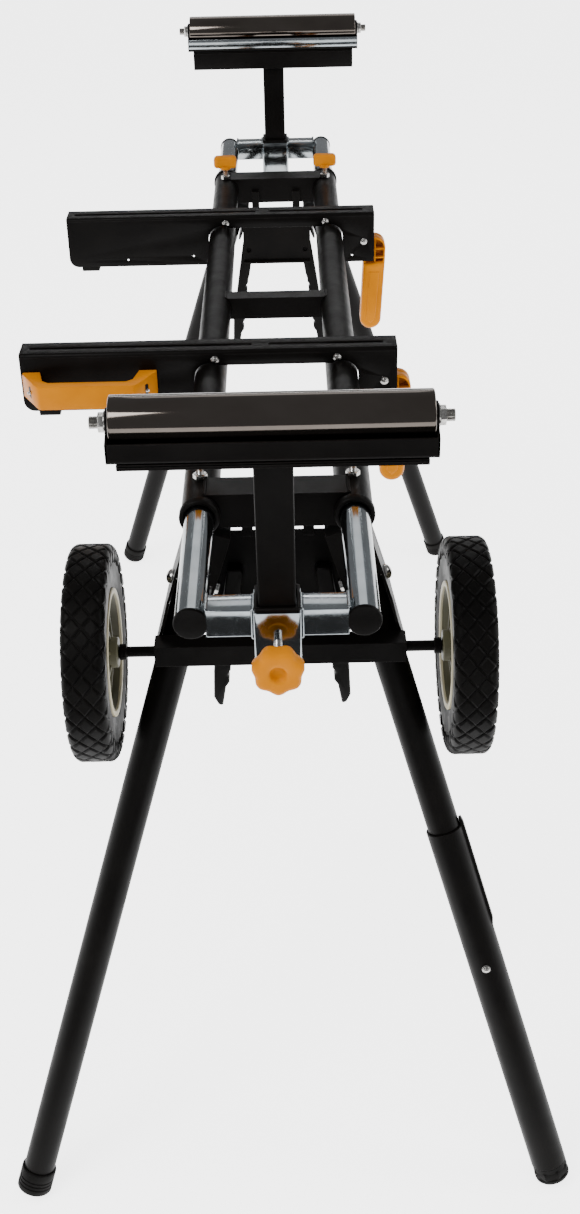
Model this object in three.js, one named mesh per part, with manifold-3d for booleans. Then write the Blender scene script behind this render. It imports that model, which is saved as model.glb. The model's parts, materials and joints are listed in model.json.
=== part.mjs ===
// Folding wheeled mitre saw stand: two long rails on four splayed folding legs, a pair of wheels at one
// end, two saw mounting brackets that slide on the rails, and a telescopic arm with a roller at each end.
// Millimetres, +Z up, X across the stand, Y along the rails, origin on the floor at the middle.

import * as THREE from 'three';
import { mergeVertices } from 'three/addons/utils/BufferGeometryUtils.js';
import Module from 'manifold-3d';

const wasm = await Module();
wasm.setup();

// ---------------------------------------------------------------- driving dimensions
const GAP = 0.3;                 // air between pieces that touch
const RUN = 0.5;                 // running clearance round a pin or a sliding tube
const PLATE = 3;                 // folded sheet steel

const RAIL_LENGTH = 1152;
const RAIL_SPACING = 165;
const RAIL_RADIUS = 20;
const RAIL_WALL = 1.8;
const RAIL_BORE = RAIL_RADIUS - RAIL_WALL;
const RAIL_HEIGHT = 862;         // rail axis above the floor

const COLLAR_FLANGE = 10;
const COLLAR_PROUD = 1.8;        // how far the collar stands out round the rail
const COLLAR_SLEEVE = 30;
const COLLAR_WALL = 1.4;         // sleeve between the rail and the arm

const ARM_RADIUS = RAIL_BORE - GAP - COLLAR_WALL - RUN;
const ARM_WALL = 2;
const ARM_LENGTH = 500;
const ARM_REACH = 213;           // arm tip beyond the rail end as drawn
const CAP_RIM = 1;
const CAP_DEPTH = 4;
const CROSS_BAR = 30;

const POST_SIZE = 36;
const SOCKET_WALL = 5;
const SOCKET_OUTER = POST_SIZE + 2 * SOCKET_WALL;
const SOCKET_TOP = 16;
const SOCKET_BOTTOM = -45;
const SOCKET_PROUD = 8;          // socket front ahead of the arm tips
const POST_WALL = 2;
const POST_BOTTOM = -64;

const STAR_RADIUS = 25;
const STAR_LOBES = 7;
const STAR_LOBE_DEPTH = 2.6;
const STAR_STEPS = 6;            // straight pieces round each lobe
const STAR_SOFT = 3;             // depth of the smaller front and rear steps
const STAR_THICK = 20;
const STAR_BOSS = 8;
const STAR_BOSS_RADIUS = 11;
const STAR_DIMPLE = 7.5;
const STAR_HEIGHT = -17;         // knob axis below the rail axis
const STAR_STANDOFF = 26;
const STUD_RADIUS = 4;

const ROLLER_RADIUS = 24;
const ROLLER_LENGTH = 286;
const ROLLER_CORNER = 2;
const ROLLER_HEIGHT = 206;       // roller axis above the rail axis
const AXLE_PIN = 6;
const CRADLE_DEPTH = 2 * (ROLLER_RADIUS + RUN + 0.5 + PLATE);
const CRADLE_LIP = 20;
const CRADLE_DROP = ROLLER_RADIUS + 5;           // cradle underside below the roller axis
const CRADLE_EAR_WIDTH = 26;
const CRADLE_EAR_SHOULDER = 6;   // where the ear starts to widen below the roller axis
const BOLT_PROUD = 15;
const NUT_RADIUS = 9;
const NUT_THICK = 7;
const HEAD_PLATE_LENGTH = ROLLER_LENGTH - 10;
const HEAD_PLATE_SKIRT = 33;
const HEAD_PLATE_LIP = 6;

const END_BEAM = 40;
const END_BEAM_INSET = 6;
const END_BEAM_WALL = 2.5;
const END_PANEL_INSET = 50;
const END_PANEL_TOP = -50;
const END_PANEL_HEM = 9;
const STRAP_WIDTH = 12;
const STRAP_X = 34;

const MID_BEAM = 30;
const MID_BEAM_DEPTH = 26;
const MID_BEAM_Y = 18;

const LOCK_INSET = 44;           // arm locking knob from the rail end
const LOCK_BOSS_RADIUS = 8;
const LOCK_STUD = 20;
const LOCK_WIDTH = 38;
const LOCK_DEPTH = 19;
const LOCK_THICK = 18;

const SPLAY = THREE.MathUtils.degToRad(17);      // legs lean outwards
const RAKE = THREE.MathUtils.degToRad(15.5);     // legs lean towards the ends
const LEG_RADIUS = 19;
const LEG_WALL = 2;
const LEG_TOP = 14;              // tube above the pivot
const HIP_INSET = 24.5;          // leg pivot from the rail end
const HIP_NEAR = { x: RAIL_SPACING / 2 + 13.5, z: -98, panelBottom: -205 };
const HIP_FAR = { x: RAIL_SPACING / 2 - 4.5, z: -57, panelBottom: -122 };
const PIVOT_PIN = 5;
const CHEEK_GAP = 1.6;
const CHEEK_BELOW = 24;
const CHEEK_HALF_DEPTH = 24;
const FOOT_WALL = 2.2;
const FOOT_RADIUS = LEG_RADIUS + GAP + FOOT_WALL;
const FOOT_FLOOR = 5;
const FOOT_HEIGHT = 32;

const SLEEVE_TOP = 318;          // down the leg from the pivot
const SLEEVE_WALL = 2;
const SLEEVE_RADIUS = LEG_RADIUS + RUN + SLEEVE_WALL;
const INNER_LEG_SHORT = 180;     // inner tube's end above the floor end of the adjustable leg
const RIB_START = 12;            // the rib starts above the outer tube
const RIB_RUNOUT = 14;
const RIB_LENGTH = 130;
const RIB_PROUD = 5;
const RIB_WIDTH = 10;
const SCREW_FOOT_RADIUS = SLEEVE_RADIUS + 1;
const SCREW_FOOT_TOE = 8;
const SCREW_FOOT_HEIGHT = 24;
const SCREW_FOOT_PLUG = 26;

const AXLE_Y = -12.5 - LEG_RADIUS;   // axle beyond the rail end, clear of the legs
const AXLE_Z = -153;
const AXLE_BEAM = 25;
const AXLE_BEAM_HALF = RAIL_SPACING / 2 + 55.5;
const AXLE_ROD = 6;
const AXLE_STOP = 3;             // how far the stops and end nuts stand out round the rod
const AXLE_STOP_HALF = 4;
const AXLE_NUT_HALF = 2.4;
const WHEEL_RADIUS = 120;
const WHEEL_INNER = 180;         // inner face of the wheel from the middle of the stand
const WHEEL_WIDTH = 46;
const TYRE_CORNER = 7;
const RIM_RADIUS = 71;
const RIM_WALL = 5;
const RIM_WIDTH = 42;
const HUB_RADIUS = 17;
const HUB_EXTRA = 2;
const WEB_THICK = 8;

const SAW_LEFT = -321;
const SAW_RIGHT = 152;
const SAW_TOP = 37;
const SAW_FACE_BOTTOM = -40;
const SAW_MIDDLE_BOTTOM = RAIL_RADIUS + 1;
const SAW_BACK_LIP = 10;
const SAW_DEPTH = 38;
const SAW_STEP = RAIL_SPACING / 2 + RAIL_RADIUS + 2.5;   // deep ends of the face start this far out
const SAW_CORNER = 14;
const SLOT_WIDTH = 6.5;
const SLOTS = [[-310, -30], [-10, 135]];
const SAW_BRACKETS = { near: -226, far: 292 };   // front faces along the rails

const LEVER_PIVOT = { x: 136, z: -8 };
const LEVER_TOP = { x: 154, z: -22 };
const LEVER_TIP = { x: 148, z: -138 };
const LEVER_TOP_RADIUS = 17;
const LEVER_TIP_RADIUS = 16.5;
const LEVER_DEPTH = 30;
const LEVER_SHELL = 3;
const LEVER_PIN = 4;
const LEVER_BOSS = 12;

const GRIP_LEFT = -318;
const GRIP_RIGHT = -150;
const GRIP_TOP = 14;
const GRIP_BOTTOM = -17;
const GRIP_REACH = 48;
const GRIP_SLANT = 27;
const GRIP_BAR = 15;
const GRIP_FOOT = 22;
const GRIP_SHOULDER = 5;

const TRIGGER_PIVOT = { x: 48, z: -100 };
const TRIGGER_DEPTH = 16;
const TRIGGER_LENGTH = 178;
const TRIGGER_TEETH = 6;
const TRIGGER_TOOTH = 3;
const TRIGGER_PIN = 4;

const SEGMENTS = 20;             // sides of a small round
const RAIL_SEGMENTS = 28;
const WHEEL_SEGMENTS = 40;
const PIN_SEGMENTS = 16;

// ---------------------------------------------------------------- worked out
const HALF_RAIL = RAIL_SPACING / 2;
const END_Y = -RAIL_LENGTH / 2;
const FLOOR = -RAIL_HEIGHT;
const ARM_TIP = -ARM_REACH;
const ROLLER_Y = ARM_TIP + CROSS_BAR / 2;
const SOCKET_FRONT = ARM_TIP - SOCKET_PROUD;
const SOCKET_Y = SOCKET_FRONT + SOCKET_OUTER / 2;
const CRADLE_BOTTOM = ROLLER_HEIGHT - CRADLE_DROP;
const CRADLE_HALF = ROLLER_LENGTH / 2 + RUN + PLATE;
const SQUARE_DROP = Math.cos(SPLAY) * Math.cos(RAKE);

// ---------------------------------------------------------------- finishes
const finish = (color, roughness, metalness) =>
  new THREE.MeshStandardMaterial({ color, roughness, metalness });
const blackSteel = finish(0x1b1a1a, 0.5, 0.4);
const blackPlastic = finish(0x151515, 0.6, 0);
const rubber = finish(0x121212, 0.85, 0);
const zinc = finish(0xb9c0c6, 0.28, 1);
const chrome = finish(0x8d8a88, 0.12, 1);
const orange = finish(0xe8960c, 0.45, 0);
const cream = finish(0xc9c0a0, 0.55, 0);

// ---------------------------------------------------------------- solid helpers
function solid(geometry) {
  const bare = geometry.clone();
  bare.deleteAttribute('normal');
  bare.deleteAttribute('uv');
  const merged = mergeVertices(bare, 1e-4);
  const vertProperties = new Float32Array(merged.attributes.position.array);
  const triVerts = new Uint32Array(merged.index.array);
  return new wasm.Manifold(new wasm.Mesh({ numProp: 3, vertProperties, triVerts }));
}

function toMesh(name, body, material) {
  const data = body.getMesh();
  const geometry = new THREE.BufferGeometry();
  geometry.setAttribute('position', new THREE.BufferAttribute(new Float32Array(data.vertProperties), 3));
  geometry.setIndex(new THREE.BufferAttribute(new Uint32Array(data.triVerts), 1));
  geometry.computeVertexNormals();
  const mesh = new THREE.Mesh(geometry, material);
  mesh.name = name;
  return mesh;
}

// A block between two corners.
function block(x0, x1, y0, y1, z0, z1) {
  const geometry = new THREE.BoxGeometry(x1 - x0, y1 - y0, z1 - z0);
  return solid(geometry.translate((x0 + x1) / 2, (y0 + y1) / 2, (z0 + z1) / 2));
}

// A round bar along one axis, from one end to the other, through a point of the other two axes.
function bar(axis, radius, from, to, at, segments = SEGMENTS) {
  const geometry = new THREE.CylinderGeometry(radius, radius, to - from, segments);
  const middle = (from + to) / 2;
  if (axis === 'x') {
    geometry.rotateZ(-Math.PI / 2).translate(middle, at[0], at[1]);
  } else if (axis === 'y') {
    geometry.translate(at[0], middle, at[1]);
  } else {
    geometry.rotateX(Math.PI / 2).translate(at[0], at[1], middle);
  }
  return solid(geometry);
}

function tube(axis, outer, inner, from, to, at, segments = SEGMENTS) {
  return bar(axis, outer, from, to, at, segments).subtract(bar(axis, inner, from - 1, to + 1, at, segments));
}

// An outline, given as points or as a shape, extruded from zero.
function thickened(outline, depth) {
  const fromPoints = () => new THREE.Shape(outline.map(([a, b]) => new THREE.Vector2(a, b)));
  const shape = Array.isArray(outline) ? fromPoints() : outline;
  return new THREE.ExtrudeGeometry(shape, { depth, bevelEnabled: false, curveSegments: 8 });
}

// A closed outline in X and Z, given thickness along Y.
function plateXZ(outline, y0, y1) {
  const geometry = thickened(outline, y1 - y0);
  return solid(geometry.rotateX(Math.PI / 2).translate(0, y1, 0));
}

// A closed outline in Y and Z, given thickness along X.
function plateYZ(outline, x0, x1) {
  const geometry = thickened(outline, x1 - x0);
  geometry.rotateX(Math.PI / 2).rotateZ(Math.PI / 2);
  return solid(geometry.translate(x0, 0, 0));
}

// A closed outline in X and Y, given thickness along Z.
function plateXY(outline, z0, z1) {
  return solid(thickened(outline, z1 - z0).translate(0, 0, z0));
}

// A body of revolution about the X axis from (x, radius) points that close on themselves.
function turned(profile, segments) {
  const points = profile.map(([x, radius]) => new THREE.Vector2(radius, x));
  points.push(points[0].clone());
  const geometry = new THREE.LatheGeometry(points, segments).rotateZ(-Math.PI / 2);
  const body = solid(geometry);
  return body.volume() > 0 ? body : solid(flipped(geometry));
}

function flipped(geometry) {
  const turnedOver = geometry.clone();
  const index = turnedOver.index.array;
  for (let i = 0; i < index.length; i += 3) {
    [index[i], index[i + 1]] = [index[i + 1], index[i]];
  }
  return turnedOver;
}

function union(bodies) {
  return bodies.reduce((whole, body) => whole.add(body));
}

// ---------------------------------------------------------------- the four corners and two ends
const SIDES = [{ side: 'left', sign: -1 }, { side: 'right', sign: 1 }];
const ENDS = [
  { end: 'near', turn: 0, hip: HIP_NEAR, y: END_Y },
  { end: 'far', turn: Math.PI, hip: HIP_FAR, y: -END_Y },
];

// At the far end, which is turned half round, a piece on the local left is on the stand's right.
function sideName(turn, sign) {
  const across = turn === 0 ? sign : -sign;
  return across < 0 ? 'left' : 'right';
}

// ---------------------------------------------------------------- rails and frame
function mainRails() {
  return SIDES.map(({ side, sign }) => {
    const at = [sign * HALF_RAIL, 0];
    const body = tube('y', RAIL_RADIUS, RAIL_RADIUS - RAIL_WALL, END_Y, -END_Y, at, RAIL_SEGMENTS);
    const studHole = (y) => bar('z', STUD_RADIUS + RUN, 0, RAIL_RADIUS + 2, [at[0], y], PIN_SEGMENTS);
    const cut = body.subtract(studHole(END_Y + LOCK_INSET)).subtract(studHole(-END_Y - LOCK_INSET));
    return toMesh(`main_rail_${side}`, cut, blackSteel);
  });
}

function collar(name, sign) {
  const at = [sign * HALF_RAIL, 0];
  const bore = ARM_RADIUS + RUN;
  const flange = tube('y', RAIL_RADIUS + COLLAR_PROUD, bore, -COLLAR_FLANGE, -GAP, at, RAIL_SEGMENTS);
  const sleeve = tube('y', RAIL_BORE - GAP, bore, -1, COLLAR_SLEEVE, at, RAIL_SEGMENTS);
  return toMesh(name, flange.add(sleeve), blackPlastic);
}

// Square beam between the rails with a hanging panel that carries the two leg release triggers.
function endBeam(name, hip) {
  const reach = HALF_RAIL - STUD_RADIUS - 2;
  const half = END_BEAM / 2;
  const y1 = END_BEAM_INSET + END_BEAM;
  const outer = block(-reach, reach, END_BEAM_INSET, y1, -half, half);
  const inner = block(
    -reach - 1, reach + 1,
    END_BEAM_INSET + END_BEAM_WALL, y1 - END_BEAM_WALL,
    -half + END_BEAM_WALL, half - END_BEAM_WALL,
  );
  const panelHalf = hip.x - LEG_RADIUS - 2;
  const low = hip.panelBottom;
  const back = END_PANEL_INSET + PLATE;
  const panel = block(-panelHalf, panelHalf, END_PANEL_INSET, back, low, END_PANEL_TOP);
  const hemBack = END_PANEL_INSET + END_PANEL_HEM;
  const hem = block(-panelHalf, panelHalf, END_PANEL_INSET, hemBack, low, low + PLATE);
  let body = outer.subtract(inner);
  for (const { sign } of SIDES) {
    body = body.subtract(bar('y', RAIL_RADIUS + GAP, 0, y1 + 1, [sign * HALF_RAIL, 0], RAIL_SEGMENTS));
  }
  body = body.add(panel).add(hem);
  for (const { sign } of SIDES) {
    const x = sign * STRAP_X - STRAP_WIDTH / 2;
    body = body.add(block(x, x + STRAP_WIDTH, y1 - 1, back, END_PANEL_TOP - 4, 0));
    const hole = [sign * TRIGGER_PIVOT.x, TRIGGER_PIVOT.z];
    body = body.subtract(bar('y', TRIGGER_PIN + RUN, END_PANEL_INSET - 1, back + 1, hole, PIN_SEGMENTS));
  }
  return toMesh(name, body, blackSteel);
}

function midBeam() {
  const half = MID_BEAM / 2;
  const y0 = MID_BEAM_Y - MID_BEAM_DEPTH / 2;
  const y1 = y0 + MID_BEAM_DEPTH;
  let body = block(-HALF_RAIL, HALF_RAIL, y0, y1, -half, half);
  const inner = half - PLATE;
  body = body.subtract(block(-HALF_RAIL - 1, HALF_RAIL + 1, y0 + PLATE, y1 - PLATE, -inner, inner));
  for (const { sign } of SIDES) {
    body = body.subtract(bar('y', RAIL_RADIUS + GAP, y0 - 1, y1 + 1, [sign * HALF_RAIL, 0], RAIL_SEGMENTS));
  }
  return toMesh('mid_beam', body, blackSteel);
}

// ---------------------------------------------------------------- legs
// A hip group has its X along the leg's pivot and its Z up the bracket; a leg group leans back from it.
function hipGroup(hip, sign) {
  const group = new THREE.Group();
  group.position.set(sign * hip.x, HIP_INSET, hip.z);
  group.rotation.y = -sign * SPLAY;
  return group;
}

function legGroup() {
  const group = new THREE.Group();
  group.rotation.x = -RAKE;
  return group;
}

// How far above the pivot the underside of the rail is, measured along the bracket.
function bracketRise(hip) {
  const dx = HALF_RAIL - hip.x;
  const up = -dx * Math.sin(SPLAY) - hip.z * Math.cos(SPLAY);
  return up - RAIL_RADIUS - GAP;
}

// Lowest edge of a bracket's end wall that the leg's top corner misses as it folds.
function stopBottom(distance) {
  const sweep = Math.hypot(LEG_TOP, LEG_RADIUS) + 1;
  return sweep > distance ? Math.sqrt(sweep ** 2 - distance ** 2) + 1 : 0;
}

// Folded U: a roof under the rail and two cheeks that hold the pivot; the wheel end's cheeks also reach
// out to the axle beam.
function legBracket(name, hip, carriesAxle) {
  const roof = bracketRise(hip);
  const inner = LEG_RADIUS + CHEEK_GAP;
  const outer = inner + PLATE;
  const depth = CHEEK_HALF_DEPTH;
  const axleBack = AXLE_Y + AXLE_BEAM / 2 + GAP - HIP_INSET;
  const axleLow = (AXLE_Z - AXLE_BEAM / 2 - hip.z) / Math.cos(SPLAY);
  const axleHigh = (AXLE_Z + AXLE_BEAM / 2 - hip.z) / Math.cos(SPLAY);
  const chin = CHEEK_BELOW / 2;
  const plain = [
    [depth, roof], [depth, -chin], [chin, -CHEEK_BELOW],
    [-chin, -CHEEK_BELOW], [-depth, -chin], [-depth, roof],
  ];
  const reaching = [
    [depth, roof], [depth, -chin], [6, -CHEEK_BELOW - 6], [axleBack + 22, axleLow],
    [axleBack, axleLow], [axleBack, axleHigh + 4], [-depth, -20], [-depth, roof],
  ];
  const outline = carriesAxle ? reaching : plain;
  const cheeks = plateYZ(outline, -outer, -inner).add(plateYZ(outline, inner, outer));
  const top = block(-outer, outer, -depth, depth, roof - PLATE, roof);
  const stop = block(-outer, outer, -depth, -depth + PLATE, stopBottom(depth - PLATE), roof);
  const hole = bar('x', PIVOT_PIN + GAP, -outer - 1, outer + 1, [0, 0]);
  const body = union([cheeks, top, stop]).subtract(hole);
  return toMesh(name, body, blackSteel);
}

function pivotBolt(name, sign) {
  const cheek = LEG_RADIUS + CHEEK_GAP + PLATE;
  const shank = bar('x', PIVOT_PIN, -cheek - NUT_THICK, cheek + 4, [0, 0]);
  const nut = bar('x', NUT_RADIUS - 1, -cheek - NUT_THICK + 1, -cheek - GAP, [0, 0], 6);
  const dome = new THREE.SphereGeometry(NUT_RADIUS, 14, 8);
  dome.scale(0.75, 1, 1).translate(cheek + GAP, 0, 0);
  const head = solid(dome).subtract(block(-60, cheek + GAP, -20, 20, -20, 20));
  const mesh = toMesh(name, union([shank, nut, head]), zinc);
  mesh.rotation.z = sign > 0 ? 0 : Math.PI;
  return mesh;
}

// Length from the pivot to the tube end that puts a round foot's lowest edge on the floor.
function legReach(hip, footRadius) {
  const lowest = footRadius * Math.sqrt(1 - SQUARE_DROP ** 2);
  return (hip.z - FLOOR - lowest) / SQUARE_DROP;
}

function legTube(name, length) {
  const body = tube('z', LEG_RADIUS, LEG_RADIUS - LEG_WALL, -length, LEG_TOP, [0, 0]);
  const hole = bar('x', PIVOT_PIN + RUN, -LEG_RADIUS - 1, LEG_RADIUS + 1, [0, 0]);
  return toMesh(name, body.subtract(hole), blackSteel);
}

function footCap(name, reach) {
  const cup = bar('z', FOOT_RADIUS, -reach, -reach + FOOT_HEIGHT, [0, 0]);
  const well = bar('z', LEG_RADIUS + GAP, -reach + FOOT_FLOOR, -reach + FOOT_HEIGHT + 1, [0, 0]);
  return toMesh(name, cup.subtract(well), rubber);
}

// Outer tube that slides on the adjustable leg, with a guide rib down its outer side.
function legSleeve(sign, reach) {
  const end = -reach + SCREW_FOOT_HEIGHT + GAP;
  const bore = LEG_RADIUS + RUN;
  const body = bar('z', SLEEVE_RADIUS, end, -SLEEVE_TOP, [0, 0]);
  const ribOut = SLEEVE_RADIUS + RIB_PROUD;
  const ribEnd = -SLEEVE_TOP - RIB_LENGTH - RIB_RUNOUT;
  const rib = [
    [0, -SLEEVE_TOP + RIB_START], [sign * ribOut, -SLEEVE_TOP + RIB_START],
    [sign * ribOut, -SLEEVE_TOP - RIB_LENGTH], [sign * bore, ribEnd], [0, ribEnd],
  ];
  const ordered = sign > 0 ? rib.slice().reverse() : rib;
  const ribBody = plateXZ(ordered, -RIB_WIDTH / 2, RIB_WIDTH / 2);
  const whole = body.add(ribBody).subtract(bar('z', bore, end - 1, -SLEEVE_TOP + 20, [0, 0]));
  return toMesh('leg_sleeve', whole, blackSteel);
}

function screwFoot(reach) {
  const low = -reach;
  const top = low + SCREW_FOOT_HEIGHT;
  const pad = bar('z', SCREW_FOOT_RADIUS, low + SCREW_FOOT_TOE - 1, top, [0, 0], 8);
  const toe = bar('z', FOOT_RADIUS, low, low + SCREW_FOOT_TOE, [0, 0]);
  const plug = bar('z', LEG_RADIUS - GAP, top - 1, top + SCREW_FOOT_PLUG, [0, 0]);
  return toMesh('screw_foot', union([pad, toe, plug]), rubber);
}

// Squeeze trigger that frees the leg, hung on the end panel by its own pin.
function trigger(name, sign) {
  const { x, z } = TRIGGER_PIVOT;
  const tip = z - TRIGGER_LENGTH;
  const y0 = END_PANEL_INSET - GAP - TRIGGER_DEPTH;
  const y1 = END_PANEL_INSET - GAP;
  const inner = [[x - 8, z + 9], [x + 1, z - 50]];
  const start = [x + 3, z - 56];
  const stop = [x + 15, tip + 22];
  for (let i = 0; i < TRIGGER_TEETH; i += 1) {
    const a = i / TRIGGER_TEETH;
    const b = (i + 0.55) / TRIGGER_TEETH;
    inner.push([start[0] + a * (stop[0] - start[0]), start[1] + a * (stop[1] - start[1])]);
    inner.push([start[0] + b * (stop[0] - start[0]) + TRIGGER_TOOTH, start[1] + b * (stop[1] - start[1])]);
  }
  const outer = [[x + 24, tip], [x + 33, tip + 12], [x + 31, tip + 50], [x + 19, z - 48], [x + 10, z + 9]];
  const outline = [...inner, ...outer];
  const placed = outline.map(([px, pz]) => [sign * px, pz]);
  const ordered = sign > 0 ? placed.reverse() : placed;
  const blade = plateXZ(ordered.slice().reverse(), y0, y1);
  const at = [sign * x, z];
  const back = END_PANEL_INSET + PLATE;
  const pin = bar('y', TRIGGER_PIN, y1 - 4, back + 4, at, PIN_SEGMENTS);
  const head = bar('y', TRIGGER_PIN + 3, back + GAP, back + 4, at, PIN_SEGMENTS);
  return toMesh(name, union([blade, pin, head]), blackPlastic);
}

// ---------------------------------------------------------------- axle and wheels
function axleBeam() {
  const half = AXLE_BEAM / 2;
  const long = AXLE_BEAM_HALF;
  const body = block(-long, long, AXLE_Y - half, AXLE_Y + half, AXLE_Z - half, AXLE_Z + half);
  const bore = bar('x', AXLE_ROD + GAP, -long - 1, long + 1, [AXLE_Y, AXLE_Z]);
  return toMesh('axle_beam', body.subtract(bore), blackSteel);
}

function axleRod() {
  const half = WHEEL_INNER + WHEEL_WIDTH + 6;
  const at = [AXLE_Y, AXLE_Z];
  const rod = bar('x', AXLE_ROD, -half, half, at);
  const stops = SIDES.map(({ sign }) => {
    const x = sign * (WHEEL_INNER - HUB_EXTRA - 7);
    return bar('x', AXLE_ROD + AXLE_STOP, x - AXLE_STOP_HALF, x + AXLE_STOP_HALF, at);
  });
  const nuts = SIDES.map(({ sign }) => {
    const x = sign * (half - 1);
    return bar('x', AXLE_ROD + AXLE_STOP, x - AXLE_NUT_HALF, x + AXLE_NUT_HALF, at);
  });
  return toMesh('axle_rod', union([rod, ...stops, ...nuts]), blackSteel);
}

function tyre(name, sign) {
  const x0 = 0;
  const x1 = WHEEL_WIDTH;
  const c = TYRE_CORNER;
  const bead = RIM_RADIUS + GAP;
  const profile = [
    [x0 + 3, bead], [x1 - 3, bead], [x1, bead + 8], [x1, WHEEL_RADIUS - c],
    [x1 - c, WHEEL_RADIUS - 1], [x1 / 2, WHEEL_RADIUS], [x0 + c, WHEEL_RADIUS - 1],
    [x0, WHEEL_RADIUS - c], [x0, bead + 8],
  ];
  const mesh = toMesh(name, turned(profile, WHEEL_SEGMENTS), rubber);
  mesh.position.set(sign > 0 ? WHEEL_INNER : -WHEEL_INNER - WHEEL_WIDTH, AXLE_Y, AXLE_Z);
  return mesh;
}

function wheelHub(name, sign) {
  const middle = WHEEL_WIDTH / 2;
  const r0 = middle - RIM_WIDTH / 2;
  const r1 = middle + RIM_WIDTH / 2;
  const w0 = middle - WEB_THICK / 2;
  const w1 = middle + WEB_THICK / 2;
  const barrel = RIM_RADIUS - RIM_WALL;
  const bore = AXLE_ROD + RUN;
  const profile = [
    [r0, RIM_RADIUS], [r0, barrel], [w0, barrel - 4], [w0, HUB_RADIUS], [-HUB_EXTRA, HUB_RADIUS],
    [-HUB_EXTRA, bore], [WHEEL_WIDTH + HUB_EXTRA, bore], [WHEEL_WIDTH + HUB_EXTRA, HUB_RADIUS],
    [w1, HUB_RADIUS], [w1, barrel - 4], [r1, barrel], [r1, RIM_RADIUS],
  ];
  const mesh = toMesh(name, turned(profile, WHEEL_SEGMENTS), cream);
  mesh.position.set(sign > 0 ? WHEEL_INNER : -WHEEL_INNER - WHEEL_WIDTH, AXLE_Y, AXLE_Z);
  return mesh;
}

// ---------------------------------------------------------------- telescopic arms
function armFrame(name) {
  const half = CROSS_BAR / 2;
  const start = ARM_TIP + CAP_DEPTH + GAP;
  let cross = block(-HALF_RAIL, HALF_RAIL, ARM_TIP, ARM_TIP + CROSS_BAR, -half, half);
  const arms = [];
  for (const { sign } of SIDES) {
    const at = [sign * HALF_RAIL, 0];
    cross = cross.subtract(bar('y', ARM_RADIUS - 1, ARM_TIP - 1, ARM_TIP + CROSS_BAR + 1, at));
    cross = cross.subtract(bar('y', ARM_RADIUS + CAP_RIM + GAP, ARM_TIP - 1, start, at));
    arms.push(tube('y', ARM_RADIUS, ARM_RADIUS - ARM_WALL, start, ARM_TIP + ARM_LENGTH, at));
  }
  const outer = SOCKET_OUTER / 2;
  const socket = block(-outer, outer, SOCKET_Y - outer, SOCKET_Y + outer, SOCKET_BOTTOM, SOCKET_TOP);
  const bore = POST_SIZE / 2 + RUN;
  const well = block(-bore, bore, SOCKET_Y - bore, SOCKET_Y + bore, SOCKET_BOTTOM - 1, SOCKET_TOP + 1);
  const screwHole = bar('y', STUD_RADIUS + GAP, SOCKET_FRONT - 1, SOCKET_Y, [0, STAR_HEIGHT], PIN_SEGMENTS);
  return toMesh(name, union([cross, ...arms, socket]).subtract(well).subtract(screwHole), zinc);
}

function armCap(name, sign) {
  const at = [sign * HALF_RAIL, 0];
  const face = bar('y', ARM_RADIUS + CAP_RIM, ARM_TIP, ARM_TIP + CAP_DEPTH, at);
  const plug = bar('y', ARM_RADIUS - ARM_WALL - GAP, ARM_TIP + 1, ARM_TIP + CAP_DEPTH + 12, at);
  return toMesh(name, face.add(plug), blackPlastic);
}

// Star-shaped clamping knob with its threaded stud, turned about Y.
function starKnob(name) {
  const steps = STAR_LOBES * STAR_STEPS;
  const outline = (scale) => {
    const points = [];
    for (let i = 0; i < steps; i += 1) {
      const angle = (i / steps) * 2 * Math.PI;
      const radius = STAR_RADIUS - STAR_LOBE_DEPTH * (1 + Math.cos(STAR_LOBES * angle)) / 2;
      points.push([radius * scale * Math.sin(angle), radius * scale * Math.cos(angle) + STAR_HEIGHT]);
    }
    return points.reverse();
  };
  const back = SOCKET_FRONT - STAR_STANDOFF - STAR_BOSS;
  const front = back - STAR_THICK;
  const body = plateXZ(outline(1).reverse(), front + STAR_SOFT, back - STAR_SOFT + 1);
  const face = plateXZ(outline(0.9).reverse(), front, front + STAR_SOFT + 1);
  const rear = plateXZ(outline(0.93).reverse(), back - STAR_SOFT, back);
  const boss = bar('y', STAR_BOSS_RADIUS, back - 1, back + STAR_BOSS, [0, STAR_HEIGHT]);
  const studEnd = SOCKET_FRONT + SOCKET_WALL - RUN - GAP;
  const stud = bar('y', STUD_RADIUS, back, studEnd, [0, STAR_HEIGHT], PIN_SEGMENTS);
  const dimple = bar('y', STAR_DIMPLE, front - 1, front + STAR_SOFT, [0, STAR_HEIGHT]);
  return toMesh(name, union([body, face, rear, boss, stud]).subtract(dimple), orange);
}

// Winged knob on a stud that locks an arm inside its rail.
function lockKnob(name, sign) {
  const at = [sign * HALF_RAIL, LOCK_INSET];
  const base = RAIL_RADIUS + GAP;
  const grip = base + LOCK_STUD;
  const boss = bar('z', LOCK_BOSS_RADIUS, base, base + 6, at, 6);
  const stud = bar('z', STUD_RADIUS, ARM_RADIUS + RUN, grip + 2, at, PIN_SEGMENTS);
  const shape = new THREE.Shape();
  const halfWidth = LOCK_WIDTH / 2;
  const halfDepth = LOCK_DEPTH / 2;
  const waist = halfDepth * 0.72;
  shape.moveTo(-halfWidth, -halfDepth);
  shape.lineTo(-halfWidth * 0.4, -waist);
  shape.lineTo(halfWidth * 0.4, -waist);
  shape.lineTo(halfWidth, -halfDepth);
  shape.lineTo(halfWidth, halfDepth);
  shape.lineTo(halfWidth * 0.4, waist);
  shape.lineTo(-halfWidth * 0.4, waist);
  shape.lineTo(-halfWidth, halfDepth);
  shape.closePath();
  const wings = plateXY(shape, 0, LOCK_THICK).translate([at[0], at[1], grip]);
  const clearArm = bar('z', 9, grip - 3, grip + 1, at);
  return toMesh(name, union([boss, stud, clearArm, wings]), orange);
}

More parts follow.
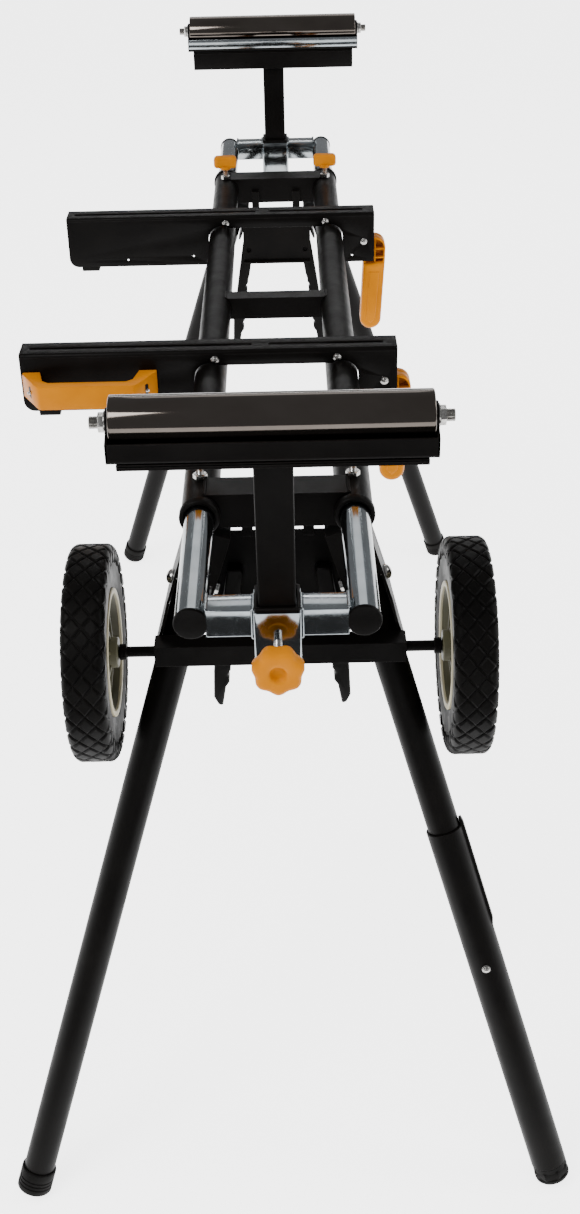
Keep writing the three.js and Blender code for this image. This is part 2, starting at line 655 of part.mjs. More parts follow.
// ---------------------------------------------------------------- work support rollers
function rollerPost(name) {
  const half = POST_SIZE / 2;
  const top = CRADLE_BOTTOM - GAP;
  const post = block(-half, half, SOCKET_Y - half, SOCKET_Y + half, POST_BOTTOM, top - 1);
  const inner = half - POST_WALL;
  const hollow = block(-inner, inner, SOCKET_Y - inner, SOCKET_Y + inner, POST_BOTTOM - 1, top - PLATE - 1);
  const length = HEAD_PLATE_LENGTH / 2;
  const depth = CRADLE_DEPTH / 2 - 1;
  const plate = block(-length, length, ROLLER_Y - depth, ROLLER_Y + depth, top - PLATE, top);
  const lip = block(-length, length, ROLLER_Y - depth, ROLLER_Y - depth + PLATE, top - HEAD_PLATE_LIP, top);
  const inwards = ROLLER_Y + depth;
  const skirt = block(-length, length, inwards - PLATE, inwards, top - HEAD_PLATE_SKIRT, top);
  return toMesh(name, union([post.subtract(hollow), plate, lip, skirt]), blackSteel);
}

// Folded cradle with an ear at each end; the roller turns on the bolt between the ears.
function rollerCradle(name) {
  const half = CRADLE_HALF;
  const depth = CRADLE_DEPTH / 2;
  const y0 = ROLLER_Y - depth;
  const y1 = ROLLER_Y + depth;
  const floor = block(-half, half, y0, y1, CRADLE_BOTTOM, CRADLE_BOTTOM + PLATE);
  const lipTop = CRADLE_BOTTOM + CRADLE_LIP;
  const front = block(-half, half, y0, y0 + PLATE, CRADLE_BOTTOM, lipTop);
  const back = block(-half, half, y1 - PLATE, y1, CRADLE_BOTTOM, lipTop);
  const earHalf = CRADLE_EAR_WIDTH / 2;
  const ear = new THREE.Shape();
  ear.moveTo(ROLLER_Y - depth, CRADLE_BOTTOM);
  ear.lineTo(ROLLER_Y + depth, CRADLE_BOTTOM);
  ear.lineTo(ROLLER_Y + depth, lipTop);
  ear.lineTo(ROLLER_Y + earHalf, ROLLER_HEIGHT - CRADLE_EAR_SHOULDER);
  ear.lineTo(ROLLER_Y + earHalf, ROLLER_HEIGHT);
  ear.absarc(ROLLER_Y, ROLLER_HEIGHT, earHalf, 0, Math.PI, false);
  ear.lineTo(ROLLER_Y - earHalf, ROLLER_HEIGHT - CRADLE_EAR_SHOULDER);
  ear.lineTo(ROLLER_Y - depth, lipTop);
  ear.closePath();
  const ears = [plateYZ(ear, -half, -half + PLATE), plateYZ(ear, half - PLATE, half)];
  const at = [ROLLER_Y, ROLLER_HEIGHT];
  const bolt = bar('x', AXLE_PIN, -half - BOLT_PROUD, half + BOLT_PROUD, at);
  const nuts = SIDES.map(({ sign }) => {
    const x = sign * (half + NUT_THICK / 2);
    return bar('x', NUT_RADIUS, x - NUT_THICK / 2 - 1, x + NUT_THICK / 2, at, 6);
  });
  return toMesh(name, union([floor, front, back, ...ears, bolt, ...nuts]), blackSteel);
}

function roller(name) {
  const half = ROLLER_LENGTH / 2;
  const bore = AXLE_PIN + RUN;
  const profile = [
    [-half, bore], [-half, ROLLER_RADIUS - ROLLER_CORNER], [-half + ROLLER_CORNER, ROLLER_RADIUS],
    [half - ROLLER_CORNER, ROLLER_RADIUS], [half, ROLLER_RADIUS - ROLLER_CORNER], [half, bore],
  ];
  const mesh = toMesh(name, turned(profile, RAIL_SEGMENTS), chrome);
  mesh.position.set(0, ROLLER_Y, ROLLER_HEIGHT);
  return mesh;
}

// ---------------------------------------------------------------- saw mounting brackets
function sawBracket(name, y) {
  const round = SAW_CORNER;
  const shape = new THREE.Shape();
  shape.moveTo(SAW_LEFT, SAW_TOP);
  shape.lineTo(SAW_LEFT, SAW_FACE_BOTTOM + round);
  shape.absarc(SAW_LEFT + round, SAW_FACE_BOTTOM + round, round, Math.PI, 1.5 * Math.PI, false);
  shape.lineTo(-SAW_STEP, SAW_FACE_BOTTOM);
  shape.lineTo(-SAW_STEP, SAW_MIDDLE_BOTTOM);
  shape.lineTo(SAW_STEP, SAW_MIDDLE_BOTTOM);
  shape.lineTo(SAW_STEP, SAW_FACE_BOTTOM);
  shape.lineTo(SAW_RIGHT, SAW_FACE_BOTTOM);
  shape.lineTo(SAW_RIGHT, SAW_TOP);
  shape.closePath();
  let body = plateXZ(shape, 0, PLATE);
  body = body.add(block(SAW_LEFT, SAW_RIGHT, 0, SAW_DEPTH, SAW_TOP - PLATE, SAW_TOP));
  body = body.add(block(SAW_LEFT, SAW_RIGHT, SAW_DEPTH - PLATE, SAW_DEPTH, SAW_TOP - SAW_BACK_LIP, SAW_TOP));
  for (const [from, to] of SLOTS) {
    const y0 = (SAW_DEPTH - SLOT_WIDTH) / 2;
    body = body.subtract(block(from, to, y0, y0 + SLOT_WIDTH, SAW_TOP - PLATE - 1, SAW_TOP + 1));
  }
  const pin = [LEVER_PIVOT.x, LEVER_PIVOT.z];
  body = body.subtract(bar('y', LEVER_PIN + RUN, -1, PLATE + 1, pin, PIN_SEGMENTS));
  const mesh = toMesh(name, body, blackSteel);
  mesh.position.y = y;
  return mesh;
}

// Cam lever that locks a bracket to the rails: a tapered shell, open at the back, with its pin.
function clampLever(name, y) {
  const outline = (shrink) => {
    const shape = new THREE.Shape();
    const top = LEVER_TOP_RADIUS - shrink;
    const tip = LEVER_TIP_RADIUS - shrink;
    shape.absarc(LEVER_TIP.x, LEVER_TIP.z, tip, Math.PI, 2 * Math.PI, false);
    shape.absarc(LEVER_TOP.x, LEVER_TOP.z, top, 0, Math.PI, false);
    shape.closePath();
    return shape;
  };
  const y0 = PLATE + 1;
  const shell = plateXZ(outline(0), y0, y0 + LEVER_DEPTH);
  const hollow = plateXZ(outline(LEVER_SHELL), y0 + LEVER_SHELL, y0 + LEVER_DEPTH + 1);
  const at = [LEVER_PIVOT.x, LEVER_PIVOT.z];
  const boss = bar('y', LEVER_BOSS, y0, y0 + LEVER_DEPTH, at);
  const pin = bar('y', LEVER_PIN, -3, y0 + 1, at, PIN_SEGMENTS);
  const head = bar('y', LEVER_PIN + 3, -4, -GAP, at, PIN_SEGMENTS);
  const mesh = toMesh(name, union([shell.subtract(hollow), boss, pin, head]), orange);
  mesh.position.y = y;
  return mesh;
}

// Carrying handle: a trapezium loop seen from above, standing out of the near bracket's face.
function carryGrip(y) {
  const outer = [
    [GRIP_LEFT, -GAP], [GRIP_LEFT, -GRIP_SHOULDER], [GRIP_LEFT + GRIP_SLANT, -GRIP_REACH],
    [GRIP_RIGHT - GRIP_SLANT, -GRIP_REACH], [GRIP_RIGHT, -GRIP_SHOULDER], [GRIP_RIGHT, -GAP],
  ];
  const lean = GRIP_SLANT / 2;
  const inner = [
    [GRIP_LEFT + GRIP_FOOT, 1], [GRIP_LEFT + GRIP_FOOT + lean, -GRIP_REACH + GRIP_BAR],
    [GRIP_RIGHT - GRIP_FOOT - lean, -GRIP_REACH + GRIP_BAR], [GRIP_RIGHT - GRIP_FOOT, 1],
  ];
  const body = plateXY(outer, GRIP_BOTTOM, GRIP_TOP).subtract(plateXY(inner, GRIP_BOTTOM - 1, GRIP_TOP + 1));
  const mesh = toMesh('carry_grip', body, orange);
  mesh.position.y = y;
  return mesh;
}

// ---------------------------------------------------------------- assembly
function buildEnd({ end, turn, hip, y }) {
  const group = new THREE.Group();
  group.position.set(0, y, 0);
  group.rotation.z = turn;
  const isNear = end === 'near';
  group.add(endBeam(`end_beam_${end}`, hip));
  group.add(armFrame(`arm_frame_${end}`));
  group.add(starKnob(`star_knob_${end}`));
  group.add(rollerPost(`roller_post_${end}`));
  group.add(rollerCradle(`roller_cradle_${end}`));
  group.add(roller(`roller_${end}`));
  for (const { sign } of SIDES) {
    const side = sideName(turn, sign);
    group.add(collar(`collar_${end}_${side}`, sign));
    group.add(armCap(`arm_cap_${end}_${side}`, sign));
    group.add(lockKnob(`lock_knob_${end}_${side}`, sign));
    group.add(trigger(`trigger_${end}_${side}`, sign));
    const atHip = hipGroup(hip, sign);
    atHip.add(legBracket(`leg_bracket_${end}_${side}`, hip, isNear));
    atHip.add(pivotBolt(`pivot_bolt_${end}_${side}`, sign));
    const leg = legGroup();
    const reach = legReach(hip, FOOT_RADIUS);
    const adjustable = isNear && side === 'right';
    leg.add(legTube(`leg_${end}_${side}`, reach - (adjustable ? INNER_LEG_SHORT : FOOT_FLOOR + GAP)));
    if (adjustable) {
      leg.add(legSleeve(sign, reach));
      leg.add(screwFoot(reach));
    } else {
      leg.add(footCap(`foot_cap_${end}_${side}`, reach));
    }
    atHip.add(leg);
    group.add(atHip);
  }
  if (isNear) {
    group.add(axleBeam());
    group.add(axleRod());
    for (const { side, sign } of SIDES) {
      group.add(tyre(`tyre_${side}`, sign));
      group.add(wheelHub(`wheel_hub_${side}`, sign));
    }
  }
  return group;
}

function buildStand() {
  const stand = new THREE.Group();
  stand.position.z = RAIL_HEIGHT;
  stand.add(...mainRails());
  stand.add(midBeam());
  for (const end of ENDS) {
    stand.add(buildEnd(end));
  }
  for (const [place, y] of Object.entries(SAW_BRACKETS)) {
    stand.add(sawBracket(`saw_bracket_${place}`, y));
    stand.add(clampLever(`clamp_lever_${place}`, y));
  }
  stand.add(carryGrip(SAW_BRACKETS.near));
  const whole = new THREE.Group();
  whole.add(stand);
  return whole;
}

export default buildStand();
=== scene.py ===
"""Looks of a folding wheeled stand for a mitre saw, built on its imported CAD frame.

Metres, +Z up, X across the stand, Y along the rails, with the wheels at the -Y end.
"""

from __future__ import annotations

import json
import logging
import math
from dataclasses import dataclass, field
from enum import Enum
from typing import Callable, Iterable, Sequence

import bmesh
import bpy
from mathutils import Matrix, Vector

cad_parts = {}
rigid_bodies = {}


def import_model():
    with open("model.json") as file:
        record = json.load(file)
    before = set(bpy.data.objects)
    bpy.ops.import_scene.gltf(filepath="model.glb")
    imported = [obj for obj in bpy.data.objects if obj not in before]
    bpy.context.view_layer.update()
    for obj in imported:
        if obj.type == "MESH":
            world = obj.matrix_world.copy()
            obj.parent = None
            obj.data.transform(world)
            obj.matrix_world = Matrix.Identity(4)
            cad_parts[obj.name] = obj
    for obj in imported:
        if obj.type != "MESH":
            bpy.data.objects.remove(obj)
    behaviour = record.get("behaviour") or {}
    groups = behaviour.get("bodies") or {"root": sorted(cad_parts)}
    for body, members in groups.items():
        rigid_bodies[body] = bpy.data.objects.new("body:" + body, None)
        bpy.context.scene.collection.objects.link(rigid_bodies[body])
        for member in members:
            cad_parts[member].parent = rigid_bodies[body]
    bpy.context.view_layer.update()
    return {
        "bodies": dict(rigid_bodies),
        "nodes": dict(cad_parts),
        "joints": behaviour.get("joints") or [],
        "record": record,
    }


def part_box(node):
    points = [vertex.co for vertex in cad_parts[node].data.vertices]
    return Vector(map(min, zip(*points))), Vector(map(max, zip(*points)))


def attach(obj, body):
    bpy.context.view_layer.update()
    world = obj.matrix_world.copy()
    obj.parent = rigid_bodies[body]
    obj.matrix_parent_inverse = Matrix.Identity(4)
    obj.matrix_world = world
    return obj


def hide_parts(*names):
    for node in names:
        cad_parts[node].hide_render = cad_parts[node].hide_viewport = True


LOG = logging.getLogger("mitre_stand")
MM = 0.001
CORNER_STEPS = 6
SHARP_EDGE = 35.0
WELD_PITCH = 1.6 * MM
SCREW_HEX = 7.8 * MM
ORIGIN = Vector((0, 0, 0))
Point2 = tuple[float, float]
Point3 = tuple[float, float, float]
Socket = bpy.types.NodeSocket
Material = bpy.types.Material
Piece = bpy.types.Object


class Axis(Enum):
    """A direction that a round or an extruded shape is built along."""

    X = "x"
    Y = "y"
    Z = "z"

    def matrix(self) -> Matrix:
        """Return the turn that takes local Z to this axis and local X to a level or upright cross axis."""
        columns = {
            Axis.X: ((0, 1, 0), (0, 0, 1), (1, 0, 0)),
            Axis.Y: ((1, 0, 0), (0, 0, -1), (0, 1, 0)),
            Axis.Z: ((1, 0, 0), (0, 1, 0), (0, 0, 1)),
        }[self]
        return Matrix(columns).transposed().to_4x4()


class End(Enum):
    """The two ends of the stand."""

    NEAR = "near"
    FAR = "far"

    @property
    def sign(self) -> int:
        """Return the side of the middle that this end is on along Y."""
        return -1 if self is End.NEAR else 1


class Side(Enum):
    """The two sides of the stand, seen from the wheel end."""

    LEFT = "left"
    RIGHT = "right"

    @property
    def sign(self) -> int:
        """Return the side of the middle that this side is on along X."""
        return -1 if self is Side.LEFT else 1


# ---- mesh making
@dataclass
class Bounds:
    """The box of a CAD node."""

    low: Vector
    high: Vector

    @classmethod
    def of(cls, node: str) -> Bounds:
        """Return the box of a CAD node at rest."""
        low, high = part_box(node)
        return cls(low, high)

    @property
    def centre(self) -> Vector:
        """Return the middle of the box."""
        return (self.low + self.high) / 2

    @property
    def size(self) -> Vector:
        """Return the box's size."""
        return self.high - self.low


def arc(cx: float, cy: float, radius: float, start: float, stop: float, steps: int = 8) -> list[Point2]:
    """Return points of a round stretch.

    Args:
        cx: Centre, first coordinate.
        cy: Centre, second coordinate.
        radius: Radius of the stretch.
        start: First angle in degrees.
        stop: Last angle in degrees.
        steps: Number of straight pieces.

    Returns:
        The points from the first angle to the last.
    """
    angles = [math.radians(start + (stop - start) * i / steps) for i in range(steps + 1)]
    return [(cx + radius * math.cos(a), cy + radius * math.sin(a)) for a in angles]


def rounded_rectangle(x0: float, x1: float, y0: float, y1: float, radius: float) -> list[Point2]:
    """Return a rectangle's outline with round corners, anticlockwise."""
    points = arc(x1 - radius, y1 - radius, radius, 0, 90, CORNER_STEPS)
    points += arc(x0 + radius, y1 - radius, radius, 90, 180, CORNER_STEPS)
    points += arc(x0 + radius, y0 + radius, radius, 180, 270, CORNER_STEPS)
    points += arc(x1 - radius, y0 + radius, radius, 270, 360, CORNER_STEPS)
    return points


def polygon(cx: float, cy: float, radius: float, sides: int, start: float = 0.0) -> list[Point2]:
    """Return a regular polygon.

    Args:
        cx: Centre, first coordinate.
        cy: Centre, second coordinate.
        radius: Distance from the centre to a corner.
        sides: Number of sides.
        start: Angle of the first corner in degrees.

    Returns:
        The corners, anticlockwise.
    """
    angles = [math.radians(360 / sides * i + start) for i in range(sides)]
    return [(cx + radius * math.cos(a), cy + radius * math.sin(a)) for a in angles]


class Workpiece:
    """A mesh being made, which becomes one finished object."""

    def __init__(self, name: str) -> None:
        """Start an empty workpiece with the finished object's name."""
        self.name = name
        self.bm = bmesh.new()

    def _merge(self, other: bmesh.types.BMesh, matrix: Matrix | None = None) -> None:
        """Add another mesh to this one, moved by a matrix, and free it."""
        if matrix is not None:
            other.transform(matrix)
        mesh = bpy.data.meshes.new("merge")
        other.to_mesh(mesh)
        other.free()
        self.bm.from_mesh(mesh)
        bpy.data.meshes.remove(mesh)

    @staticmethod
    def _round_edges(bm: bmesh.types.BMesh, width: float) -> None:
        """Round every sharp edge of a mesh."""
        limit = math.radians(SHARP_EDGE)
        edges = [e for e in bm.edges if len(e.link_faces) == 2 and e.calc_face_angle(0.0) > limit]
        if edges and width > 0:
            bmesh.ops.bevel(
                bm, geom=edges, offset=width, segments=2, profile=0.5, affect="EDGES", clamp_overlap=True
            )

    def turn(
        self, profile: Sequence[Point2], axis: Axis, at: Vector, segments: int = 64,
        matrix: Matrix | None = None
    ) -> Workpiece:
        """Add a body of revolution.

        Args:
            profile: Closed outline of (distance along the axis, radius) points.
            axis: Axis of the revolution.
            at: A point that the axis starts from.
            segments: Number of sides.
            matrix: A further move of the whole body.

        Returns:
            This workpiece.
        """
        bm = bmesh.new()
        rings: list[list[bmesh.types.BMVert]] = []
        for along, radius in profile:
            if radius < 1e-6:
                rings.append([bm.verts.new((0, 0, along))])
                continue
            ring = []
            for i in range(segments):
                a = 2 * math.pi * i / segments
                ring.append(bm.verts.new((radius * math.cos(a), radius * math.sin(a), along)))
            rings.append(ring)
        pairs = list(zip(rings, rings[1:] + rings[:1]))
        for first, second in pairs:
            if len(first) == 1 and len(second) == 1:
                continue
            for i in range(segments):
                j = (i + 1) % segments
                corners = [
                    first[i % len(first)], first[j % len(first)], second[j % len(second)],
                    second[i % len(second)]
                ]
                unique = list(dict.fromkeys(corners))
                if len(unique) > 2:
                    bm.faces.new(unique)
        bmesh.ops.recalc_face_normals(bm, faces=bm.faces)
        move = Matrix.Translation(at) @ axis.matrix()
        self._merge(bm, move if matrix is None else matrix @ move)
        return self

    def box(self, low: Sequence[float], high: Sequence[float], edge: float = 0.0006) -> Workpiece:
        """Add a block between two corners, with rounded edges."""
        bm = bmesh.new()
        bmesh.ops.create_cube(bm, size=1.0)
        size = Vector(high) - Vector(low)
        middle = (Vector(high) + Vector(low)) / 2
        bm.transform(Matrix.Translation(middle) @ Matrix.Diagonal((*size, 1.0)))
        self._round_edges(bm, edge)
        self._merge(bm)
        return self

    def plate(
        self,
        outline: Sequence[Point2],
        axis: Axis,
        low: float,
        high: float,
        holes: Iterable[Sequence[Point2]] = (),
        edge: float = 0.0005,
        matrix: Matrix | None = None,
    ) -> Workpiece:
        """Add a flat outline with holes, given thickness along an axis and rounded rims.

        Args:
            outline: Points across the axis: (x, y) along Z, (x, z) along Y and (y, z) along X.
            axis: Axis of the thickness.
            low: Where the thickness starts.
            high: Where it stops.
            holes: Outlines of the holes.
            edge: Rounding of the rims.
            matrix: A further move of the whole plate.

        Returns:
            This workpiece.
        """
        curve = bpy.data.curves.new("plate", "CURVE")
        curve.dimensions = "2D"
        curve.fill_mode = "BOTH"
        half = (high - low) / 2
        curve.bevel_depth = edge
        curve.bevel_resolution = 1
        curve.extrude = half - edge
        curve.offset = -edge
        for points in (outline, *holes):
            spline = curve.splines.new("POLY")
            spline.points.add(len(points) - 1)
            for vertex, (x, y) in zip(spline.points, points):
                vertex.co = (x, y, 0.0, 1.0)
            spline.use_cyclic_u = True
        holder = bpy.data.objects.new("plate", curve)
        mesh = bpy.data.meshes.new_from_object(holder)
        bm = bmesh.new()
        bm.from_mesh(mesh)
        bmesh.ops.remove_doubles(bm, verts=bm.verts, dist=1e-6)
        bmesh.ops.recalc_face_normals(bm, faces=bm.faces)
        bpy.data.objects.remove(holder)
        bpy.data.curves.remove(curve)
        bpy.data.meshes.remove(mesh)
        middle = (low + high) / 2
        placed = {
            Axis.X: Matrix(((0, 0, 1, middle), (1, 0, 0, 0), (0, 1, 0, 0), (0, 0, 0, 1))),
            Axis.Y: Matrix(((1, 0, 0, 0), (0, 0, -1, middle), (0, 1, 0, 0), (0, 0, 0, 1))),
            Axis.Z: Matrix.Translation((0, 0, middle)),
        }[axis]
        self._merge(bm, placed if matrix is None else matrix @ placed)
        return self

    def skin(self, rings: Sequence[Sequence[Point3]]) -> Workpiece:
        """Add a closed body from rings of equal length, capped at both ends."""
        bm = bmesh.new()
        made = [[bm.verts.new(p) for p in ring] for ring in rings]
        for first, second in zip(made, made[1:]):
            count = len(first)
            for i in range(count):
                j = (i + 1) % count
                bm.faces.new((first[i], first[j], second[j], second[i]))
        bm.faces.new(made[0])
        bm.faces.new(list(reversed(made[-1])))
        bmesh.ops.recalc_face_normals(bm, faces=bm.faces)
        self._merge(bm)
        return self

    def finish(self, material: Material, crease: float = 38.0) -> Piece:
        """Make the object.

        Args:
            material: The finish of the whole piece.
            crease: Edges sharper than this many degrees stay crisp.

        Returns:
            The finished object, at the origin, with its place in its mesh.
        """
        bmesh.ops.remove_doubles(self.bm, verts=self.bm.verts, dist=1e-7)
        limit = math.radians(crease)
        for face in self.bm.faces:
            face.smooth = True
        for edge in self.bm.edges:
            edge.smooth = len(edge.link_faces) == 2 and edge.calc_face_angle(0.0) < limit
        mesh = bpy.data.meshes.new(self.name)
        self.bm.to_mesh(mesh)
        self.bm.free()
        mesh.materials.append(material)
        piece = bpy.data.objects.new(self.name, mesh)
        bpy.context.scene.collection.objects.link(piece)
        return piece


def settle(piece: Piece, body: str, slot: str, *nodes: str) -> Piece:
    """Make a finished piece ride on a body and stand for CAD nodes."""
    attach(piece, body)
    if nodes:
        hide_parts(*nodes)
    LOG.info("%s rides on %s, %d faces", piece.name, body, len(piece.data.polygons))
    return piece


# ---- finishes
class ShaderSheet:
    """A material's node tree while it is being laid out."""

    def __init__(self, name: str) -> None:
        """Start a material with an empty tree, its shader and its coordinates."""
        self.material = bpy.data.materials.new(name)
        self.material.use_nodes = True
        self.tree = self.material.node_tree
        self.tree.nodes.clear()
        output = self.tree.nodes.new("ShaderNodeOutputMaterial")
        self.shader = self.tree.nodes.new("ShaderNodeBsdfPrincipled")
        self.tree.links.new(self.shader.outputs["BSDF"], output.inputs["Surface"])
        self.coords = self.tree.nodes.new("ShaderNodeTexCoord").outputs["Object"]

    def stretch(self, scale: Point3) -> Socket:
        """Return the coordinates stretched by a factor on each axis."""
        mapping = self.tree.nodes.new("ShaderNodeMapping")
        mapping.inputs["Scale"].default_value = scale
        self.tree.links.new(self.coords, mapping.inputs["Vector"])
        return mapping.outputs["Vector"]

    def noise(
        self, scale: float, detail: float = 3.0, rough: float = 0.5, coords: Socket | None = None
    ) -> Socket:
        """Return a noise pattern's value, from 0 to 1."""
        node = self.tree.nodes.new("ShaderNodeTexNoise")
        node.inputs["Scale"].default_value = scale
        node.inputs["Detail"].default_value = detail
        node.inputs["Roughness"].default_value = rough
        self.tree.links.new(coords or self.coords, node.inputs["Vector"])
        return node.outputs["Fac"]

    def spread(
        self, value: Socket, low: float, high: float, from_low: float = 0.3, from_high: float = 0.7
    ) -> Socket:
        """Return a value carried from one range to another, held at the ends."""
        node = self.tree.nodes.new("ShaderNodeMapRange")
        node.inputs["From Min"].default_value = from_low
        node.inputs["From Max"].default_value = from_high
        node.inputs["To Min"].default_value = low
        node.inputs["To Max"].default_value = high
        self.tree.links.new(value, node.inputs["Value"])
        return node.outputs["Result"]

    def blend(self, factor: Socket, first: object, second: object) -> Socket:
        """Return one colour turning into another as a factor goes from 0 to 1."""
        node = self.tree.nodes.new("ShaderNodeMix")
        node.data_type = "RGBA"
        self.tree.links.new(factor, node.inputs["Factor"])
        for socket, colour in ((node.inputs["A"], first), (node.inputs["B"], second)):
            if isinstance(colour, Socket):
                self.tree.links.new(colour, socket)
            else:
                socket.default_value = (*colour, 1.0)
        return node.outputs["Result"]

    def times(self, first: Socket, second: Socket | float) -> Socket:
        """Return the product of two values."""
        node = self.tree.nodes.new("ShaderNodeMath")
        node.operation = "MULTIPLY"
        self.tree.links.new(first, node.inputs[0])
        if isinstance(second, Socket):
            self.tree.links.new(second, node.inputs[1])
        else:
            node.inputs[1].default_value = second
        return node.outputs[0]

    def edges(self, radius: float) -> tuple[Socket, Socket]:
        """Return rounded normals, and a mask that is 1 along sharp edges."""
        rounded = self.tree.nodes.new("ShaderNodeBevel")
        rounded.samples = 4
        rounded.inputs["Radius"].default_value = radius
        plain = self.tree.nodes.new("ShaderNodeNewGeometry")
        dot = self.tree.nodes.new("ShaderNodeVectorMath")
        dot.operation = "DOT_PRODUCT"
        self.tree.links.new(rounded.outputs["Normal"], dot.inputs[0])
        self.tree.links.new(plain.outputs["Normal"], dot.inputs[1])
        mask = self.spread(dot.outputs["Value"], 1.0, 0.0, 0.86, 0.995)
        return rounded.outputs["Normal"], mask

    def bump(
        self, height: Socket, distance: float, strength: float = 1.0, normal: Socket | None = None
    ) -> None:
        """Give the shader a relief from a height pattern."""
        node = self.tree.nodes.new("ShaderNodeBump")
        node.inputs["Distance"].default_value = distance
        node.inputs["Strength"].default_value = strength
        self.tree.links.new(height, node.inputs["Height"])
        if normal is not None:
            self.tree.links.new(normal, node.inputs["Normal"])
        self.tree.links.new(node.outputs["Normal"], self.shader.inputs["Normal"])

    def colour(self, value: Socket) -> None:
        """Drive the base colour."""
        self.tree.links.new(value, self.shader.inputs["Base Color"])

    def roughness(self, value: Socket) -> None:
        """Drive the roughness."""
        self.tree.links.new(value, self.shader.inputs["Roughness"])


@dataclass(frozen=True)
class PowderCoat:
    """Satin black powder coat with a fine orange peel, thin on the edges."""

    name: str = "powder_coat_black"
    base: Point3 = (0.0021, 0.0017, 0.0015)
    worn: Point3 = (0.016, 0.0135, 0.012)
    dusty: Point3 = (0.0036, 0.0030, 0.0026)
    rough: tuple[float, float] = (0.34, 0.48)
    sheen: float = 0.075
    edge: float = 0.0011

    def material(self) -> Material:
        """Return the finish as a material."""
        sheet = ShaderSheet(self.name)
        normal, mask = sheet.edges(self.edge)
        patches = sheet.noise(14.0, 5.0, 0.6)
        body = sheet.blend(sheet.spread(patches, 0.0, 1.0, 0.45, 0.75), self.base, self.dusty)
        chipped = sheet.times(mask, sheet.spread(sheet.noise(130.0, 4.0, 0.7), 0.1, 0.85, 0.42, 0.66))
        sheet.colour(sheet.blend(chipped, body, self.worn))
        sheet.roughness(sheet.spread(sheet.noise(32.0, 6.0, 0.65), self.rough[0], self.rough[1]))
        sheet.bump(sheet.noise(950.0, 2.0, 0.5), 0.00009, 0.55, normal)
        sheet.shader.inputs["Specular IOR Level"].default_value = self.sheen
        return sheet.material


@dataclass(frozen=True)
class ZincPlate:
    """Bright zinc plate: drawn streaks along the tube, cloudy patches and a faint blue cast."""

    name: str = "zinc_plate"
    bright: Point3 = (0.34, 0.37, 0.39)
    cloudy: Point3 = (0.25, 0.275, 0.29)
    straw: Point3 = (0.30, 0.29, 0.255)
    grain: Point3 = (1.0, 0.06, 1.0)
    edge: float = 0.0008

    def material(self) -> Material:
        """Return the finish as a material."""
        sheet = ShaderSheet(self.name)
        normal, _ = sheet.edges(self.edge)
        streaks = sheet.noise(240.0, 4.0, 0.6, sheet.stretch(self.grain))
        clouds = sheet.noise(24.0, 4.0, 0.5)
        body = sheet.blend(sheet.spread(clouds, 0.0, 0.7, 0.4, 0.72), self.bright, self.cloudy)
        tinted = sheet.blend(sheet.spread(sheet.noise(9.0, 3.0, 0.5), 0.0, 0.3, 0.5, 0.75), body, self.straw)
        sheet.colour(tinted)
        sheet.shader.inputs["Metallic"].default_value = 1.0
        sheet.roughness(sheet.spread(streaks, 0.08, 0.17))
        sheet.bump(streaks, 0.00003, 0.25, normal)
        return sheet.material


@dataclass(frozen=True)
class DarkChrome:
    """Polished dark chrome of the rollers, with faint turning lines and rubbed patches."""

    name: str = "dark_chrome"
    bright: Point3 = (0.125, 0.108, 0.096)
    smoky: Point3 = (0.095, 0.082, 0.072)

    def material(self) -> Material:
        """Return the finish as a material."""
        sheet = ShaderSheet(self.name)
        rings = sheet.noise(420.0, 2.0, 0.5, sheet.stretch((1.0, 0.02, 0.02)))
        rubbed = sheet.noise(22.0, 5.0, 0.6, sheet.stretch((0.5, 1.0, 1.0)))
        sheet.colour(sheet.blend(sheet.spread(rubbed, 0.0, 1.0, 0.35, 0.7), self.bright, self.smoky))
        sheet.shader.inputs["Metallic"].default_value = 1.0
        sheet.roughness(sheet.spread(rubbed, 0.05, 0.11))
        sheet.bump(rings, 0.00002, 0.25)
        return sheet.material


@dataclass(frozen=True)
class BrightSteel:
    """Plated screws, studs and nuts."""

    name: str = "bright_steel"
    bright: Point3 = (0.50, 0.49, 0.47)
    dull: Point3 = (0.30, 0.29, 0.28)

    def material(self) -> Material:
        """Return the finish as a material."""
        sheet = ShaderSheet(self.name)
        specks = sheet.noise(260.0, 4.0, 0.6)
        sheet.colour(sheet.blend(sheet.spread(specks, 0.0, 1.0, 0.4, 0.7), self.bright, self.dull))
        sheet.shader.inputs["Metallic"].default_value = 1.0
        sheet.roughness(sheet.spread(specks, 0.14, 0.3))
        sheet.bump(sheet.noise(700.0, 2.0), 0.00004, 0.3)
        return sheet.material


